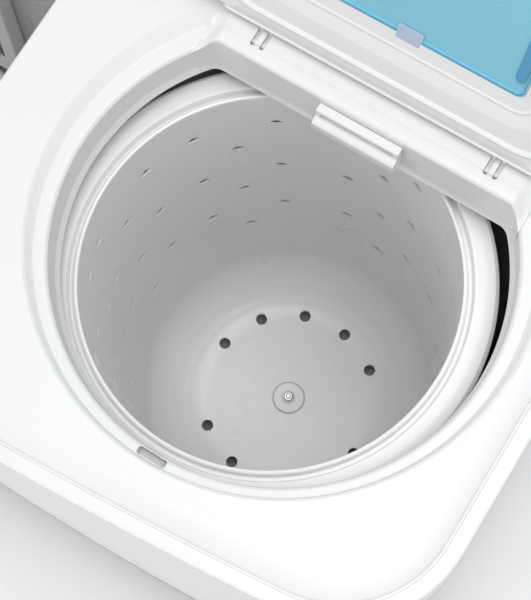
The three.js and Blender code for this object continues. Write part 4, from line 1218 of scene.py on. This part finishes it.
def make_fascia():
    z0, z1 = PANEL_Z + 0.4, PANEL_Z + 2.6
    levels = [(0, z0), (0, z1 - 0.7), (0.2, z1 - 0.3), (0.8, z1)]
    plate = loft("fascia", [(round_rect(-346 + g, 346 - g, 142 + g, 211 - g, 8 - g, 8), z)
                            for g, z in levels])
    holes = [dish(x, KNOB_Y, 6, 880, 900) for x in KNOBS.values()]
    profile = [(0, z1 - 0.4), (23.2, z1 - 0.4), (23.6, z1 + 1), (0, z1 + 1)]
    wells = [lathe("well", profile, x, KNOB_Y, 64) for x in KNOBS.values()]
    carve(plate, *holes, *wells, dish(INLET_X, KNOB_Y, 9, 880, 900))
    place(plate, FASCIA, "machine", "fascia_grey", "control_fascia", angle=30)
    marks = dial_marks(KNOBS["wash_timer"], ("0", "3", "6", "9", "12", "15"), 0, 54, 3)
    marks += dial_marks(KNOBS["spin_timer"], ("0", "1", "2", "3", "4", "5"), 0, 54, 2)
    marks += dial_marks(KNOBS["drain_selector"], ("1", "2"), 0, 90, 2)
    place(merge(*marks), INK, "machine", "fascia_grey")
    stripe = prism("fascia_stripe", round_rect(-338, 338, 146.4, 148, 0.7, 4), z1 - 0.15, z1 + 0.1)
    place(stripe, KNOB_BLUE, "machine", "fascia_grey")


def make_knob(name, body):
    """A dial knob: fluted skirt, a tall finger grip and a white pointer line."""
    x, radius, z = KNOBS[name], 22, 895.2
    loops = []
    for r, h in ((0, z), (radius - 1, z), (radius, z + 0.8), (radius, z + 3.4), (radius - 0.8, z + 4.6),
                 (radius - 2.4, z + 6), (radius - 4, z + 7), (radius - 7, z + 7.6), (3, z + 8), (0, z + 8)):
        loop = []
        for i in range(144):
            angle = 2 * math.pi * i / 144
            flute = 0.35 * (1 + math.cos(angle * 36)) * (1 if 1 < h - z < 4 and r > 10 else 0)
            reach = max(r - flute, 0)
            loop.append((x + reach * math.cos(angle), KNOB_Y + reach * math.sin(angle), h))
        loops.append(loop)
    cap = skin(name + "_cap", loops)
    waist = []
    for share in (-1, -0.96, -0.85, -0.6, -0.3, 0, 0.3, 0.6, 0.85, 0.96, 1):
        y = KNOB_Y + share * (radius - 4)
        half = 2.6 + 1.2 * abs(share) - (2 if abs(share) == 1 else 0)
        top = 914 - 1.5 * share ** 2 - (2.2 if abs(share) == 1 else 0)
        corners = [(-half - 0.8, 901), (half + 0.8, 901), (half, top, 1.8), (-half, top, 1.8)]
        section = rounded(corners, 0.3, 5)
        waist.append([(x + u, y, v) for u, v in section])
    grip = skin("grip", waist)
    stem = dish(x, KNOB_Y, 3.4, 871, 896)
    fuse(cap, grip)
    merge(cap, stem)
    place(cap, KNOB_BLUE, body, "knob_blue", name + "_knob", angle=40)
    pointer = round_rect(x - 0.7, x + 0.7, KNOB_Y + 4, KNOB_Y + 16.5, 0.6, 4)
    line = prism(name + "_pointer", pointer, 912.6, 914)
    place(line, RING, body, "knob_blue")


def make_water_inlet():
    profile = rounded([
        (4, 881), (13.4, 881), (13.4, 890), (8.7, 890, 0.4), (8.7, 895), (10.6, 895.4), (10.6, 897, 0.7),
        (8.6, 897.6, 0.4), (8.5, 901), (9.3, 902), (8.5, 905.2), (8.5, 907.5), (10, 909.6), (8.2, 914.8),
        (6.2, 914.8), (4, 911.5),
    ], 0.5, 3)
    nipple = lathe("inlet_nipple", profile, INLET_X, KNOB_Y, 64)
    trough = box("inlet_trough", 40, 140, 170, 190, 858, 880)
    carve(trough, box("hollow", 44, 136, 173, 187, 861, 877), box("mouth", 44, 60, 160, 180, 861, 877),
          dish(INLET_X, KNOB_Y, 4, 870, 890))
    merge(nipple, bevel(trough, 0.8, 2))
    place(nipple, PALE_BLUE, "machine", "blue_plastic", "water_inlet")


# ---- drain side ----------------------------------------------------------------------------------

def make_drain():
    profile = rounded([
        (0, 366, 0), (2.6, 366), (2.6, 419), (9, 420, 1), (9, 426), (14.6, 426.6), (14.9, 430.6),
        (12, 431, 0.3), (10.5, 430, 0.3), (0, 429.8, 0),
    ], 0.6, 3)
    seal = lathe("drain_seal", profile, VALVE_X, VALVE_Y, 48)
    place(seal, RUBBER, "drain_plunger", "black_rubber", "drain_valve_plunger")


def dress_hidden_parts():
    dress(DARK, "wash_timer", "spin_timer", "drain_selector", "lid_switch", "capacitor",
          "wash_motor_bracket", "drain_valve_body", "drain_pipe")
    dress(WHITE, "lid_switch_lever")
    dress(STEEL, "pulsator_shaft", "spin_shaft", "spin_hinge_pin", "wash_hinge_pin",
          "mount_spring_1", "mount_spring_2", "mount_spring_3")
    dress(ALLOY, "wash_gearbox", "gearbox_pulley", "wash_motor_pulley", "wash_motor", "spin_motor")
    dress(DARK_STEEL, "spin_motor_plate", "brake_drum", "brake_lever")
    dress(RUBBER, "drive_belt", "bellows_seal")


make_deck()
make_catch_pocket()
make_spin_bar()
make_wash_bar()
make_spout("spin_spout", BASKET_X + 6, 57.6, 776, 798.5, 8)
make_spout("wash_spout", WASH_X, 84, 779.5, 799, 12)
make_basket()
make_ring()
make_basket_bolt()
make_outer_tub()
make_wash_tub()
make_pulsator()
make_overflow_cover()
make_lint_filter()
make_spin_lid()
make_wash_lid()
make_cabinet()
make_base()
make_feet()
make_rear_cover()
make_gland()
make_control_housing()
make_fascia()
for knob_name, knob_body in (("wash_timer", "wash_knob"), ("spin_timer", "spin_knob"),
                             ("drain_selector", "drain_knob")):
    make_knob(knob_name, knob_body)
make_water_inlet()
make_drain()
dress_hidden_parts()
make_camera()
make_light()
make_floor()
